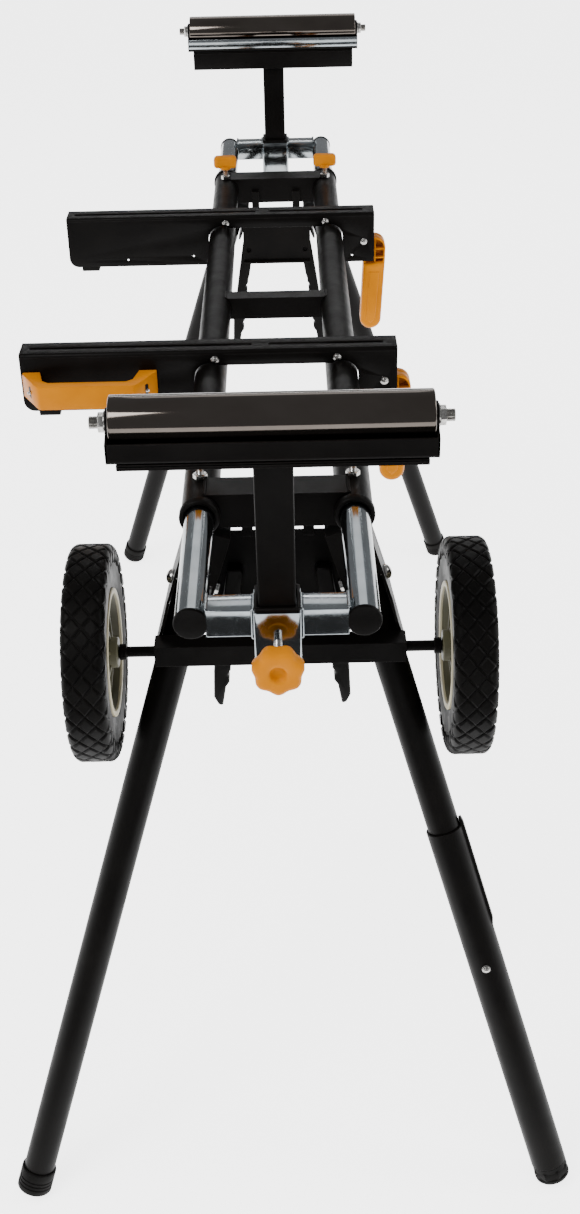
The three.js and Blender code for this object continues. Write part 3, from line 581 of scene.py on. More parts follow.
@dataclass(frozen=True)
class Moulded:
    """A moulded plastic or rubber: colour, grain and gloss differ by kind."""

    name: str
    base: Point3
    shade: Point3
    rough: tuple[float, float]
    grain: float = 700.0
    relief: float = 0.00008
    edge: float = 0.0006
    subsurface: float = 0.0
    sheen: float = 0.45
    tint: Point3 = (1.0, 1.0, 1.0)

    def material(self) -> Material:
        """Return the finish as a material."""
        sheet = ShaderSheet(self.name)
        normal, mask = sheet.edges(self.edge)
        flow = sheet.noise(18.0, 4.0, 0.55)
        body = sheet.blend(sheet.spread(flow, 0.0, 1.0, 0.35, 0.7), self.base, self.shade)
        lighter = tuple(min(1.0, channel * 1.25 + 0.004) for channel in self.base)
        sheet.shader.inputs["Specular IOR Level"].default_value = self.sheen
        sheet.shader.inputs["Specular Tint"].default_value = (*self.tint, 1.0)
        rubbed = sheet.times(mask, sheet.spread(sheet.noise(90.0, 3.0), 0.0, 0.5, 0.4, 0.7))
        sheet.colour(sheet.blend(rubbed, body, lighter))
        sheet.roughness(sheet.spread(sheet.noise(45.0, 5.0, 0.6), self.rough[0], self.rough[1]))
        sheet.bump(sheet.noise(self.grain, 3.0, 0.55), self.relief, 0.6, normal)
        if self.subsurface > 0:
            sheet.shader.inputs["Subsurface Weight"].default_value = self.subsurface
            sheet.shader.inputs["Subsurface Scale"].default_value = 0.002
        return sheet.material


@dataclass(frozen=True)
class StudioFloor:
    """Pale matt floor."""

    name: str = "studio_floor"
    glow: float = 1.9
    backdrop: float = 3.4

    def material(self) -> Material:
        """Return the finish as a material."""
        sheet = ShaderSheet(self.name)
        sheet.colour(sheet.blend(sheet.noise(3.0), (0.86, 0.86, 0.86), (0.88, 0.88, 0.88)))
        sheet.shader.inputs["Roughness"].default_value = 0.9
        sheet.shader.inputs["Emission Color"].default_value = (1.0, 1.0, 1.0, 1.0)
        seen = sheet.tree.nodes.new("ShaderNodeLightPath").outputs["Is Camera Ray"]
        strength = sheet.spread(seen, self.glow, self.backdrop, 0.0, 1.0)
        sheet.tree.links.new(strength, sheet.shader.inputs["Emission Strength"])
        return sheet.material


@dataclass
class Finishes:
    """Every material of the stand, made once."""

    steel: Material = field(init=False)
    zinc: Material = field(init=False)
    chrome: Material = field(init=False)
    bright: Material = field(init=False)
    orange: Material = field(init=False)
    plastic: Material = field(init=False)
    rubber: Material = field(init=False)
    tyre: Material = field(init=False)
    cream: Material = field(init=False)
    hub_painted_shade: Material = field(init=False)

    def __post_init__(self) -> None:
        """Make the materials."""
        self.steel = PowderCoat().material()
        self.zinc = ZincPlate().material()
        self.chrome = DarkChrome().material()
        self.bright = BrightSteel().material()
        self.orange = Moulded(
            "orange_plastic", (0.50, 0.165, 0.0), (0.43, 0.135, 0.0), (0.30, 0.42), sheen=0.18,
            tint=(1.0, 0.55, 0.12)
        ).material()
        self.plastic = Moulded(
            "black_plastic", (0.0018, 0.0015, 0.0013), (0.0030, 0.0026, 0.0023), (0.36, 0.5), sheen=0.09
        ).material()
        self.rubber = Moulded(
            "foot_rubber", (0.0020, 0.0018, 0.0016), (0.0044, 0.0039, 0.0034), (0.5, 0.7), 420.0, 0.00016,
            sheen=0.09
        ).material()
        self.tyre = Moulded(
            "tyre_rubber", (0.0016, 0.0014, 0.0012), (0.0034, 0.0030, 0.0026), (0.38, 0.55), 520.0, 0.00012,
            sheen=0.08
        ).material()
        self.cream = Moulded(
            "cream_nylon", (0.50, 0.45, 0.30), (0.42, 0.37, 0.235), (0.42, 0.58), 480.0
        ).material()
        # Painted shade: a darker olive nylon that stands in for the shade inside the wheel's dish. The hub's
        # own colour is the cream above.
        self.hub_painted_shade = Moulded(
            "shaded_nylon", (0.090, 0.084, 0.044), (0.060, 0.056, 0.028), (0.42, 0.58), 480.0
        ).material()


# ---- repeated pieces
class GeometrySheet:
    """A geometry node tree while it is being laid out, and its run on a starting mesh."""

    def __init__(self, name: str) -> None:
        """Start a tree with a geometry input and output."""
        self.tree = bpy.data.node_groups.new(name, "GeometryNodeTree")
        self.tree.interface.new_socket("Geometry", in_out="INPUT", socket_type="NodeSocketGeometry")
        self.tree.interface.new_socket("Geometry", in_out="OUTPUT", socket_type="NodeSocketGeometry")
        self.source = self.tree.nodes.new("NodeGroupInput")
        self.sink = self.tree.nodes.new("NodeGroupOutput")
        self.identifiers: dict[str, str] = {}

    def number(self, name: str) -> Socket:
        """Add a named input and return its socket."""
        socket = self.tree.interface.new_socket(name, in_out="INPUT", socket_type="NodeSocketFloat")
        self.identifiers[name] = socket.identifier
        return self.source.outputs[name]

    def node(self, kind: str, **inputs: object) -> bpy.types.Node:
        """Add a node, with links or values for its named inputs."""
        made = self.tree.nodes.new(kind)
        for key, value in inputs.items():
            socket = made.inputs[key.replace("_", " ")]
            if isinstance(value, Socket):
                self.tree.links.new(value, socket)
            else:
                socket.default_value = value
        return made

    def link(self, first: Socket, second: Socket) -> None:
        """Join two sockets."""
        self.tree.links.new(first, second)

    def end(self, geometry: Socket, material: Material) -> None:
        """Realize the instances, give them a material and send them out."""
        real = self.tree.nodes.new("GeometryNodeRealizeInstances")
        dress = self.tree.nodes.new("GeometryNodeSetMaterial")
        dress.inputs["Material"].default_value = material
        self.link(geometry, real.inputs[0])
        self.link(real.outputs[0], dress.inputs["Geometry"])
        self.link(dress.outputs[0], self.sink.inputs[0])

    def run(self, name: str, start: bpy.types.Mesh, values: dict[str, object], material: Material) -> Piece:
        """Run the tree on a mesh and keep the result as a plain mesh object.

        Args:
            name: Name of the finished object.
            start: Mesh that the tree starts from.
            values: Values of the named inputs.
            material: Material of the result.

        Returns:
            The finished object.
        """
        holder = bpy.data.objects.new(name + "_points", start)
        bpy.context.scene.collection.objects.link(holder)
        modifier = holder.modifiers.new("nodes", "NODES")
        modifier.node_group = self.tree
        for key, value in values.items():
            modifier[self.identifiers[key]] = value
        graph = bpy.context.evaluated_depsgraph_get()
        mesh = bpy.data.meshes.new_from_object(holder.evaluated_get(graph))
        mesh.name = name
        holder.modifiers.remove(modifier)
        bpy.data.objects.remove(holder)
        if not mesh.materials:
            mesh.materials.append(material)
        piece = bpy.data.objects.new(name, mesh)
        bpy.context.scene.collection.objects.link(piece)
        return piece


def points_mesh(name: str, places: Sequence[tuple[Vector, Vector]]) -> bpy.types.Mesh:
    """Return a mesh of loose points, each with a facing attribute."""
    mesh = bpy.data.meshes.new(name)
    mesh.from_pydata([tuple(p) for p, _ in places], [], [])
    facing = mesh.attributes.new("facing", "FLOAT_VECTOR", "POINT")
    for slot, (_, normal) in zip(facing.data, places):
        slot.vector = normal
    return mesh


@dataclass
class Scatter:
    """Copies of one small template on points, each turned to face outwards."""

    template: Piece
    material: Material
    spin: float = 6.28
    seed: int = 11

    def place(self, name: str, places: Sequence[tuple[Vector, Vector]], size: float = 1.0) -> Piece:
        """Return one piece that holds every copy.

        Args:
            name: Name of the piece.
            places: Pairs of a point and the way that its copy faces.
            size: Scale of each copy.

        Returns:
            The finished piece.
        """
        sheet = GeometrySheet(name + "_tree")
        scale = sheet.number("Copy Size")
        spin = sheet.number("Spin Limit")
        facing = sheet.node("GeometryNodeInputNamedAttribute")
        facing.data_type = "FLOAT_VECTOR"
        facing.inputs["Name"].default_value = "facing"
        align = sheet.node("FunctionNodeAlignRotationToVector")
        align.axis = "Z"
        sheet.link(facing.outputs["Attribute"], align.inputs["Vector"])
        random = sheet.node("FunctionNodeRandomValue", Seed=self.seed)
        random.data_type = "FLOAT"
        float_inputs = [s for s in random.inputs if s.name in ("Min", "Max") and s.type == "VALUE"]
        float_inputs[0].default_value = 0.0
        sheet.link(spin, float_inputs[1])
        turn = sheet.node("FunctionNodeAxisAngleToRotation", Axis=(0.0, 0.0, 1.0))
        value = [s for s in random.outputs if s.type == "VALUE"][0]
        sheet.link(value, turn.inputs["Angle"])
        rotate = sheet.node("FunctionNodeRotateRotation")
        rotate.rotation_space = "LOCAL"
        sheet.link(align.outputs[0], rotate.inputs[0])
        sheet.link(turn.outputs[0], rotate.inputs[1])
        template = sheet.node("GeometryNodeObjectInfo")
        template.inputs["Object"].default_value = self.template
        copies = sheet.node("GeometryNodeInstanceOnPoints")
        sheet.link(sheet.source.outputs[0], copies.inputs["Points"])
        sheet.link(template.outputs["Geometry"], copies.inputs["Instance"])
        sheet.link(rotate.outputs[0], copies.inputs["Rotation"])
        sheet.link(scale, copies.inputs["Scale"])
        sheet.end(copies.outputs[0], self.material)
        values = {"Copy Size": size, "Spin Limit": self.spin}
        return sheet.run(name, points_mesh(name, places), values, self.material)


@dataclass
class Hardware:
    """Templates of the small hardware, kept out of the scene's collection."""

    finishes: Finishes

    def _template(self, work: Workpiece, material: Material) -> Piece:
        """Return a finished template that isn't in the scene."""
        piece = work.finish(material)
        bpy.context.scene.collection.objects.unlink(piece)
        return piece

    def pan_screw(self) -> Scatter:
        """Return a scatter of pan-head screws with a washer."""
        work = Workpiece("pan_screw")
        washer = [(0.0, 0.0), (0.0, 8.2 * MM), (1.2 * MM, 8.2 * MM), (1.5 * MM, 7.8 * MM), (1.5 * MM, 0.0)]
        head = [(1.0 * MM, 0.0), (1.0 * MM, 6.6 * MM), (3.0 * MM, 6.5 * MM)]
        head += [(3.0 * MM + 2.6 * MM * math.sin(a), 6.5 * MM * math.cos(a)) for a in (0.3, 0.6, 0.9, 1.15)]
        head += [(5.6 * MM, 1.6 * MM), (4.4 * MM, 1.2 * MM), (4.2 * MM, 0.0)]
        work.turn(washer, Axis.Z, ORIGIN, 32)
        work.turn(head, Axis.Z, ORIGIN, 32)
        return Scatter(self._template(work, self.finishes.bright), self.finishes.bright)

    def hex_nut(self) -> Scatter:
        """Return a scatter of hexagon nuts with a stub of thread."""
        work = Workpiece("hex_nut")
        work.plate(polygon(0.0, 0.0, 6.5 * MM, 6), Axis.Z, 0.0, 5.0 * MM, edge=0.0004)
        thread = [(0.0, 0.0), (0.0, 3.8 * MM)]
        for i in range(6):
            z = (5.0 + i) * MM
            thread += [(z, 4.0 * MM), (z + 0.5 * MM, 3.6 * MM)]
        thread += [(11.0 * MM, 3.2 * MM), (11.0 * MM, 0.0)]
        work.turn(thread, Axis.Z, ORIGIN, 20)
        return Scatter(self._template(work, self.finishes.bright), self.finishes.bright)

    def weld_bead(self, material: Material) -> Scatter:
        """Return a scatter of overlapping weld ripples."""
        work = Workpiece("weld_ripple")
        profile = [(-0.6 * MM, 0.0)]
        profile += [
            (1.5 * MM * math.sin(a) - 0.2 * MM, 2.4 * MM * math.cos(a)) for a in (-0.2, 0.2, 0.6, 1.0, 1.35)
        ]
        profile += [(1.35 * MM, 0.0)]
        work.turn(profile, Axis.Z, ORIGIN, 14)
        return Scatter(self._template(work, material), material, seed=5)


def bead_line(start: Vector, stop: Vector, facing: Vector) -> list[tuple[Vector, Vector]]:
    """Return points along a straight weld, each with the way that its ripple faces."""
    count = max(2, int((stop - start).length / WELD_PITCH))
    return [(start.lerp(stop, i / count), facing.normalized()) for i in range(count + 1)]


# ---- rails and frame
@dataclass
class RailFrame:
    """The two rails, their collars and the square beams between them."""

    finishes: Finishes
    hardware: Hardware
    wall: float = 1.8 * MM
    rim: float = 0.5 * MM
    segments: int = 72

    def _tube(self, work: Workpiece, box: Bounds, radius: float, bore: float) -> None:
        """Add an open tube along Y that fills a node's box."""
        at = Vector((box.centre.x, 0, box.centre.z))
        y0, y1, rim = box.low.y, box.high.y, self.rim
        profile = [
            (y0, bore + rim), (y0, radius - rim), (y0 + rim, radius), (y1 - rim, radius),
            (y1, radius - rim), (y1, bore + rim), (y1 - rim, bore), (y0 + rim, bore),
        ]
        work.turn(profile, Axis.Y, at, self.segments)

    def rails(self) -> None:
        """Build the two rails."""
        for side in Side:
            node = f"main_rail_{side.value}"
            box = Bounds.of(node)
            radius = box.size.x / 2
            work = Workpiece(f"rail_tube_{side.value}")
            self._tube(work, box, radius, radius - self.wall)
            settle(work.finish(self.finishes.steel), "frame", "black_steel", node)

    def collars(self) -> None:
        """Build the four plastic collars that guide the arms."""
        for end in End:
            for side in Side:
                node = f"collar_{end.value}_{side.value}"
                box = Bounds.of(node)
                outer = box.size.x / 2
                rail = Bounds.of(f"main_rail_{side.value}")
                face = box.low.y if end is End.NEAR else box.high.y
                mouth = rail.low.y if end is End.NEAR else rail.high.y
                inwards = -end.sign
                bore = Bounds.of(f"arm_cap_{end.value}_{side.value}").size.x / 2 - 0.6 * MM
                lip = mouth + end.sign * 0.3 * MM
                profile = [(face, bore + 1.2 * MM), (face, outer - 2.2 * MM)]
                profile += [(face + inwards * 0.6 * MM, outer - 0.8 * MM), (face + inwards * 2.0 * MM, outer)]
                profile += [(lip, outer), (lip, bore), (face + inwards * 1.2 * MM, bore)]
                work = Workpiece(f"rail_collar_{end.value}_{side.value}")
                work.turn(profile, Axis.Y, Vector((box.centre.x, 0, box.centre.z)), self.segments)
                settle(work.finish(self.finishes.plastic), "frame", "black_plastic", node)

    def beams(self) -> None:
        """Dress the beams, brackets and axle beam, and add their welds."""
        names = ["mid_beam", "axle_beam"] + [f"end_beam_{end.value}" for end in End]
        names += [f"leg_bracket_{end.value}_{side.value}" for end in End for side in Side]
        for name in names:
            node = self.nodes[name]
            node.data.materials.clear()
            node.data.materials.append(self.finishes.steel)
        beads: list[tuple[Vector, Vector]] = []
        for name in ("mid_beam", "end_beam_near", "end_beam_far"):
            box = Bounds.of(name)
            depth = 40 * MM if name != "mid_beam" else box.size.y
            y0 = box.low.y if name != "end_beam_far" else box.high.y - depth
            top = box.high.z
            for side in Side:
                rail = Bounds.of(f"main_rail_{side.value}")
                radius = rail.size.x / 2
                drop = top - rail.centre.z
                x = rail.centre.x - side.sign * math.sqrt(max(radius**2 - drop**2, (6 * MM) ** 2))
                facing = Vector((-side.sign * 0.5, 0, 1))
                beads += bead_line(
                    Vector((x, y0 + 2 * MM, top)), Vector((x, y0 + depth - 2 * MM, top)), facing
                )
        piece = self.hardware.weld_bead(self.finishes.steel).place("frame_weld_beads", beads, 1.0)
        settle(piece, "frame", "black_steel")

    def build(self, nodes: dict[str, Piece]) -> None:
        """Build everything that is fixed to the frame."""
        self.nodes = nodes
        self.rails()
        self.collars()
        self.beams()


# ---- telescopic arms
@dataclass
class RollerArm:
    """One telescopic arm: two tubes, cross bar, socket, knob, post, cradle and roller."""

    finishes: Finishes
    hardware: Hardware
    end: End
    arm_radius: float = 16 * MM
    arm_wall: float = 2 * MM
    bar: float = 30 * MM
    socket: float = 46 * MM
    socket_bore: float = 37 * MM
    socket_top: float = 16 * MM
    socket_bottom: float = 45 * MM
    post: float = 36 * MM
    lobes: int = 7
    lobe_depth: float = 2.6 * MM
    knob_radius: float = 25 * MM
    lip: float = 20 * MM
    end_clearance: float = 3.5 * MM
    bolt_turns: int = 7

    @property
    def body(self) -> str:
        """Return the name of the sliding body."""
        return f"arm_{self.end.value}"

    def _outward(self, y: float, distance: float) -> float:
        """Return a place further out along the rails."""
        return y + self.end.sign * distance

    def frame(self) -> None:
        """Build the zinc-plated tubes, cross bar and socket with their welds."""
        node = f"arm_frame_{self.end.value}"
        box = Bounds.of(node)
        left = Bounds.of(f"arm_cap_{self.end.value}_left")
        right = Bounds.of(f"arm_cap_{self.end.value}_right")
        axis_z = left.centre.z
        tip = left.low.y if self.end is End.NEAR else left.high.y
        inner = box.high.y if self.end is End.NEAR else box.low.y
        start = self._outward(tip, -4 * MM)
        work = Workpiece(f"arm_weldment_{self.end.value}")
        for cap in (left, right):
            profile = [
                (start, self.arm_radius - self.arm_wall), (start, self.arm_radius),
                (inner, self.arm_radius), (inner, self.arm_radius - self.arm_wall),
            ]
            work.turn(profile, Axis.Y, Vector((cap.centre.x, 0, axis_z)), 64)
        reach = right.centre.x - self.arm_radius + 2 * MM
        y0, y1 = sorted((tip, self._outward(tip, -self.bar)))
        half = self.bar / 2
        work.box((-reach, y0, axis_z - half), (reach, y1, axis_z + half), edge=1.6 * MM)
        front = self._outward(tip, 8 * MM)
        middle = self._outward(front, -self.socket / 2)
        outer = rounded_rectangle(
            -self.socket / 2, self.socket / 2, middle - self.socket / 2, middle + self.socket / 2, 3.5 * MM
        )
        bore = self.socket_bore / 2
        well = rounded_rectangle(-bore, bore, middle - bore, middle + bore, 1.5 * MM)
        work.plate(
            outer, Axis.Z, axis_z - self.socket_bottom, axis_z + self.socket_top, [well], edge=0.5 * MM
        )
        settle(work.finish(self.finishes.zinc), self.body, "zinc", node)
        self._bushing(middle, axis_z)
        self._welds(tip, y0, y1, axis_z, reach)

    def _bushing(self, middle: float, axis_z: float) -> None:
        """Add the plastic rim that lines the socket round the post."""
        outer = self.socket / 2 - 1.2 * MM
        bore = self.socket_bore / 2 + 0.1 * MM
        rim = rounded_rectangle(-outer, outer, middle - outer, middle + outer, 2.5 * MM)
        well = rounded_rectangle(-bore, bore, middle - bore, middle + bore, 1.5 * MM)
        top = axis_z + self.socket_top
        work = Workpiece(f"socket_bushing_{self.end.value}")
        work.plate(rim, Axis.Z, top + 0.1 * MM, top + 5 * MM, [well], edge=0.6 * MM)
        settle(work.finish(self.finishes.plastic), self.body, "black_plastic")

    def _welds(self, tip: float, y0: float, y1: float, axis_z: float, reach: float) -> None:
        """Add the weld beads of the cross bar."""
        beads: list[tuple[Vector, Vector]] = []
        half = self.bar / 2
        face = self._outward(tip, 0.3 * MM)
        outward = Vector((0, self.end.sign, 0))
        for sign in (-1, 1):
            x = sign * (reach - 1 * MM)
            beads += bead_line(
                Vector((x, y0 + 3 * MM, axis_z + half)), Vector((x, y1 - 1 * MM, axis_z + half)),
                Vector((-sign, 0, 1.4))
            )
            edge = sign * (self.socket / 2 + 0.5 * MM)
            beads += bead_line(
                Vector((edge, face, axis_z - half)), Vector((edge, face, axis_z + half)),
                outward + Vector((sign * 0.6, 0, 0))
            )
            beads += bead_line(
                Vector((edge, y0 + 2 * MM, axis_z + half)), Vector((edge, y1 - 2 * MM, axis_z + half)),
                Vector((sign * 0.7, 0, 1))
            )
        piece = self.hardware.weld_bead(self.finishes.zinc).place(
            f"arm_weld_beads_{self.end.value}", beads, 0.95
        )
        settle(piece, self.body, "zinc")

    def caps(self) -> None:
        """Build the round end caps of the tubes."""
        for side in Side:
            node = f"arm_cap_{self.end.value}_{side.value}"
            box = Bounds.of(node)
            radius = box.size.x / 2
            face = box.low.y if self.end is End.NEAR else box.high.y
            steps = [
                (0.0, 0.0), (0.0, radius - 2.2 * MM), (0.5, radius - 0.7 * MM), (1.6, radius), (4.0, radius)
            ]
            steps += [(4.0, 13.7 * MM), (15.0, 13.4 * MM), (15.0, 0.0)]
            profile = [(self._outward(face, -along * MM), r) for along, r in steps]
            work = Workpiece(f"tube_cap_{self.end.value}_{side.value}")
            work.turn(profile, Axis.Y, Vector((box.centre.x, 0, box.centre.z)), 64)
            settle(work.finish(self.finishes.plastic), self.body, "black_plastic", node)

    def knob(self) -> None:
        """Build the lobed clamping knob and its stud."""
        node = f"star_knob_{self.end.value}"
        body = node
        box = Bounds.of(node)
        front = box.low.y if self.end is End.NEAR else box.high.y
        stud_end = box.high.y if self.end is End.NEAR else box.low.y
        centre_z = Bounds.of(f"arm_cap_{self.end.value}_left").centre.z - 17 * MM
        steps = self.lobes * 16
        shape = [
            (6.4, 0.0, 0.0), (6.2, 0.17, 0.0), (4.6, 0.27, 0.0), (1.1, 0.33, 0.0), (0.0, 0.40, 0.1),
            (0.0, 0.74, 0.75), (0.5, 0.86, 1.0), (2.0, 0.95, 1.0), (5.0, 1.0, 1.0), (14.0, 1.0, 1.0),
            (17.0, 0.95, 1.0), (18.6, 0.86, 0.9), (19.4, 0.6, 0.3),
            (20.0, 0.46, 0.0), (27.6, 0.44, 0.0), (28.0, 0.40, 0.0), (28.0, 0.02, 0.0),
        ]
        rings: list[list[Point3]] = []
        for depth, share, lobed in shape:
            ring = []
            for i in range(steps):
                a = 2 * math.pi * i / steps
                dip = self.lobe_depth * lobed * (1 + math.cos(self.lobes * a)) / 2
                radius = max(self.knob_radius * share - dip, 0.05 * MM)
                y = self._outward(front, -depth * MM)
                ring.append((radius * math.sin(a), y, centre_z + radius * math.cos(a)))
            rings.append(ring)
        work = Workpiece(f"lobed_knob_{self.end.value}")
        work.skin(rings)
        settle(work.finish(self.finishes.orange, 50.0), body, "orange_plastic", node)
        stud = Workpiece(f"knob_stud_{self.end.value}")
        begin = self._outward(front, -27 * MM)
        profile: list[Point2] = [(begin, 0.0), (begin, 3.6 * MM)]
        turns = int(abs(stud_end - begin) / (1.25 * MM))
        for i in range(turns):
            along = begin + (stud_end - begin) * i / turns
            half_turn = (stud_end - begin) * 0.5 / turns
            profile += [(along, 3.5 * MM), (along + half_turn, 4.0 * MM)]
        profile += [(stud_end, 3.4 * MM), (stud_end, 0.0)]
        stud.turn(profile, Axis.Y, Vector((0, 0, centre_z)), 24)
        settle(stud.finish(self.finishes.bright), body, "zinc")

    def post_and_head(self) -> None:
        """Build the square post with its head plate."""
        node = f"roller_post_{self.end.value}"
        box = Bounds.of(node)
        socket_front = Bounds.of(f"arm_frame_{self.end.value}")
        outer_y = socket_front.low.y if self.end is End.NEAR else socket_front.high.y
        middle = self._outward(outer_y, -self.socket / 2)
        half = self.post / 2
        work = Workpiece(f"square_post_{self.end.value}")
        tube = rounded_rectangle(-half, half, middle - half, middle + half, 2.5 * MM)
        inner = rounded_rectangle(
            -half + 2 * MM, half - 2 * MM, middle - half + 2 * MM, middle + half - 2 * MM, 1 * MM
        )
        work.plate(tube, Axis.Z, box.low.z, box.high.z - 2 * MM, [inner], edge=0.3 * MM)
        cradle = Bounds.of(f"roller_cradle_{self.end.value}")
        y0, y1 = cradle.low.y + 1 * MM, cradle.high.y - 1 * MM
        skirt_y = y1 if self.end is End.NEAR else y0
        lip_y = y0 if self.end is End.NEAR else y1
        top = box.high.z
        width = box.high.x
        work.box((-width, y0, top - 3 * MM), (width, y1, top), edge=0.8 * MM)
        skirt = sorted((skirt_y, skirt_y + self.end.sign * 3 * MM))
        lip = sorted((lip_y, lip_y - self.end.sign * 3 * MM))
        work.box((-width, skirt[0], top - 30 * MM), (width, skirt[1], top - 0.4 * MM), edge=0.9 * MM)
        work.box((-width, lip[0], top - 6 * MM), (width, lip[1], top - 0.4 * MM), edge=0.9 * MM)
        settle(work.finish(self.finishes.steel), node, "black_steel", node)

    def _cradle_half(self) -> float:
        """Return half the cradle's length, which clears the roller's end."""
        return Bounds.of(f"roller_{self.end.value}").high.x + self.end_clearance

    def cradle(self) -> None:
        """Build the black folded cradle with its ears."""
        node = f"roller_cradle_{self.end.value}"
        box = Bounds.of(node)
        roller = Bounds.of(f"roller_{self.end.value}")
        axis_y, axis_z = roller.centre.y, roller.centre.z
        half = self._cradle_half()
        depth = box.size.y / 2
        floor_z = box.low.z
        sheet = 2.4 * MM
        work = Workpiece(f"cradle_fold_{self.end.value}")
        lip_top = floor_z + self.lip
        bend = 4 * MM
        section = [(axis_y - depth, lip_top), (axis_y - depth, floor_z + bend)]
        section += arc(axis_y - depth + bend, floor_z + bend, bend, 180, 270, 5)
        section += arc(axis_y + depth - bend, floor_z + bend, bend, 270, 360, 5)
        section += [(axis_y + depth, lip_top), (axis_y + depth - sheet, lip_top)]
        inner = bend - sheet
        section += arc(axis_y + depth - bend, floor_z + bend, inner, 0, -90, 5)
        section += arc(axis_y - depth + bend, floor_z + bend, inner, -90, -180, 5)
        section += [(axis_y - depth + sheet, lip_top)]
        work.plate(section, Axis.X, -half, half, edge=0.35 * MM)
        ear_half = 13 * MM
        ear = [(axis_y - depth, floor_z + 3 * MM), (axis_y - depth + 3 * MM, floor_z)]
        ear += [
            (axis_y + depth - 3 * MM, floor_z), (axis_y + depth, floor_z + 3 * MM),
            (axis_y + depth, lip_top)
        ]
        ear += [(axis_y + ear_half, axis_z - 3 * MM)]
        ear += arc(axis_y, axis_z, ear_half, 0, 180, 14)
        ear += [(axis_y - ear_half, axis_z - 3 * MM), (axis_y - depth, lip_top)]
        for sign in (-1, 1):
            x0, x1 = sorted((sign * half, sign * (half - sheet)))
            work.plate(ear, Axis.X, x0, x1, edge=0.5 * MM)
        settle(work.finish(self.finishes.steel), f"roller_post_{self.end.value}", "black_steel", node)

    def cradle_lip_highlight(self) -> None:
        """Build a bright zinc strip along the cradle's inner lip: a painted highlight for the lip where the
        light catches it.
        """
        box = Bounds.of(f"roller_cradle_{self.end.value}")
        half = self._cradle_half()
        floor_z = box.low.z
        lip_top = floor_z + self.lip
        inner_face = Bounds.of(f"roller_{self.end.value}").centre.y - self.end.sign * (box.size.y / 2)
        strip_y = sorted((inner_face + self.end.sign * 0.1 * MM, inner_face - self.end.sign * 0.6 * MM))
        # Painted highlight: the zinc strip stands in for light falling on the black lip.
        strip = Workpiece(f"cradle_strip_{self.end.value}")
        strip.box(
            (-half + 1 * MM, strip_y[0], floor_z + 5 * MM), (half - 1 * MM, strip_y[1], lip_top + 0.4 * MM),
            edge=0.3 * MM
        )
        settle(strip.finish(self.finishes.zinc), f"roller_post_{self.end.value}", "zinc")

    def roller_bolt(self) -> None:
        """Build the roller's axle bolt with its washers and nuts."""
        roller = Bounds.of(f"roller_{self.end.value}")
        axis_y, axis_z = roller.centre.y, roller.centre.z
        half = self._cradle_half()
        bolt = Workpiece(f"roller_bolt_{self.end.value}")
        at = Vector((0, axis_y, axis_z))
        reach = Bounds.of(f"roller_cradle_{self.end.value}").high.x
        for sign in (-1, 1):
            profile: list[Point2] = [(sign * (half - 6 * MM), 0.0), (sign * (half - 6 * MM), 5.6 * MM)]
            start = sign * (half + 7 * MM)
            for i in range(self.bolt_turns):
                along = start + (sign * reach - start) * i / self.bolt_turns
                profile += [(along, 5.2 * MM), (along + sign * 0.5 * MM, 5.8 * MM)]
            profile += [(sign * reach, 4.9 * MM), (sign * reach, 0.0)]
            bolt.turn(profile, Axis.X, at, 24)
            nut = polygon(axis_y, axis_z, 9 * MM, 6)
            x0, x1 = sorted((sign * (half + 1.2 * MM), sign * (half + 7 * MM)))
            bolt.plate(nut, Axis.X, x0, x1, edge=0.6 * MM)
            washer = arc(axis_y, axis_z, 10.5 * MM, 0, 345, 23)
            x0, x1 = sorted((sign * half, sign * (half + 1.4 * MM)))
            bolt.plate(washer, Axis.X, x0, x1, edge=0.3 * MM)
        settle(bolt.finish(self.finishes.bright), f"roller_post_{self.end.value}", "zinc")

    def roller(self) -> None:
        """Build the roller sleeve and its two bearing caps."""
        node = f"roller_{self.end.value}"
        box = Bounds.of(node)
        at = Vector((0, box.centre.y, box.centre.z))
        half = box.high.x
        radius = box.size.z / 2
        profile = [
            (-half, radius - 2.6 * MM), (-half, radius - 1.0 * MM), (
                -half + 0.5 * MM, radius - 0.3 * MM
            ), (-half + 1.4 * MM, radius),
            (half - 1.4 * MM, radius), (
                half - 0.5 * MM, radius - 0.3 * MM
            ), (half, radius - 1.0 * MM), (half, radius - 2.6 * MM),
        ]
        work = Workpiece(f"roller_sleeve_{self.end.value}")
        work.turn(profile, Axis.X, at, 96)
        settle(work.finish(self.finishes.chrome), node, "roller_chrome", node)
        caps = Workpiece(f"roller_bearings_{self.end.value}")
        for sign in (-1, 1):
            rim = radius - 2.6 * MM
            shape = [
                (
                    sign * (half - 12 * MM), 6.6 * MM
                ), (sign * (half - 12 * MM), rim), (sign * (half - 0.4 * MM), rim),
                (
                    sign * (half - 0.4 * MM), rim - 3 * MM
                ), (sign * (half - 3 * MM), rim - 5 * MM), (sign * (half - 3 * MM), 12 * MM),
                (sign * (half - 0.2 * MM), 11 * MM), (sign * (half - 0.2 * MM), 6.6 * MM),
            ]
            caps.turn(shape, Axis.X, at, 64)
        settle(caps.finish(self.finishes.plastic), node, "black_plastic")

    def build(self) -> None:
        """Build the whole arm."""
        self.frame()
        self.caps()
        self.knob()
        self.post_and_head()
        self.cradle()
        self.cradle_lip_highlight()
        self.roller_bolt()
        self.roller()


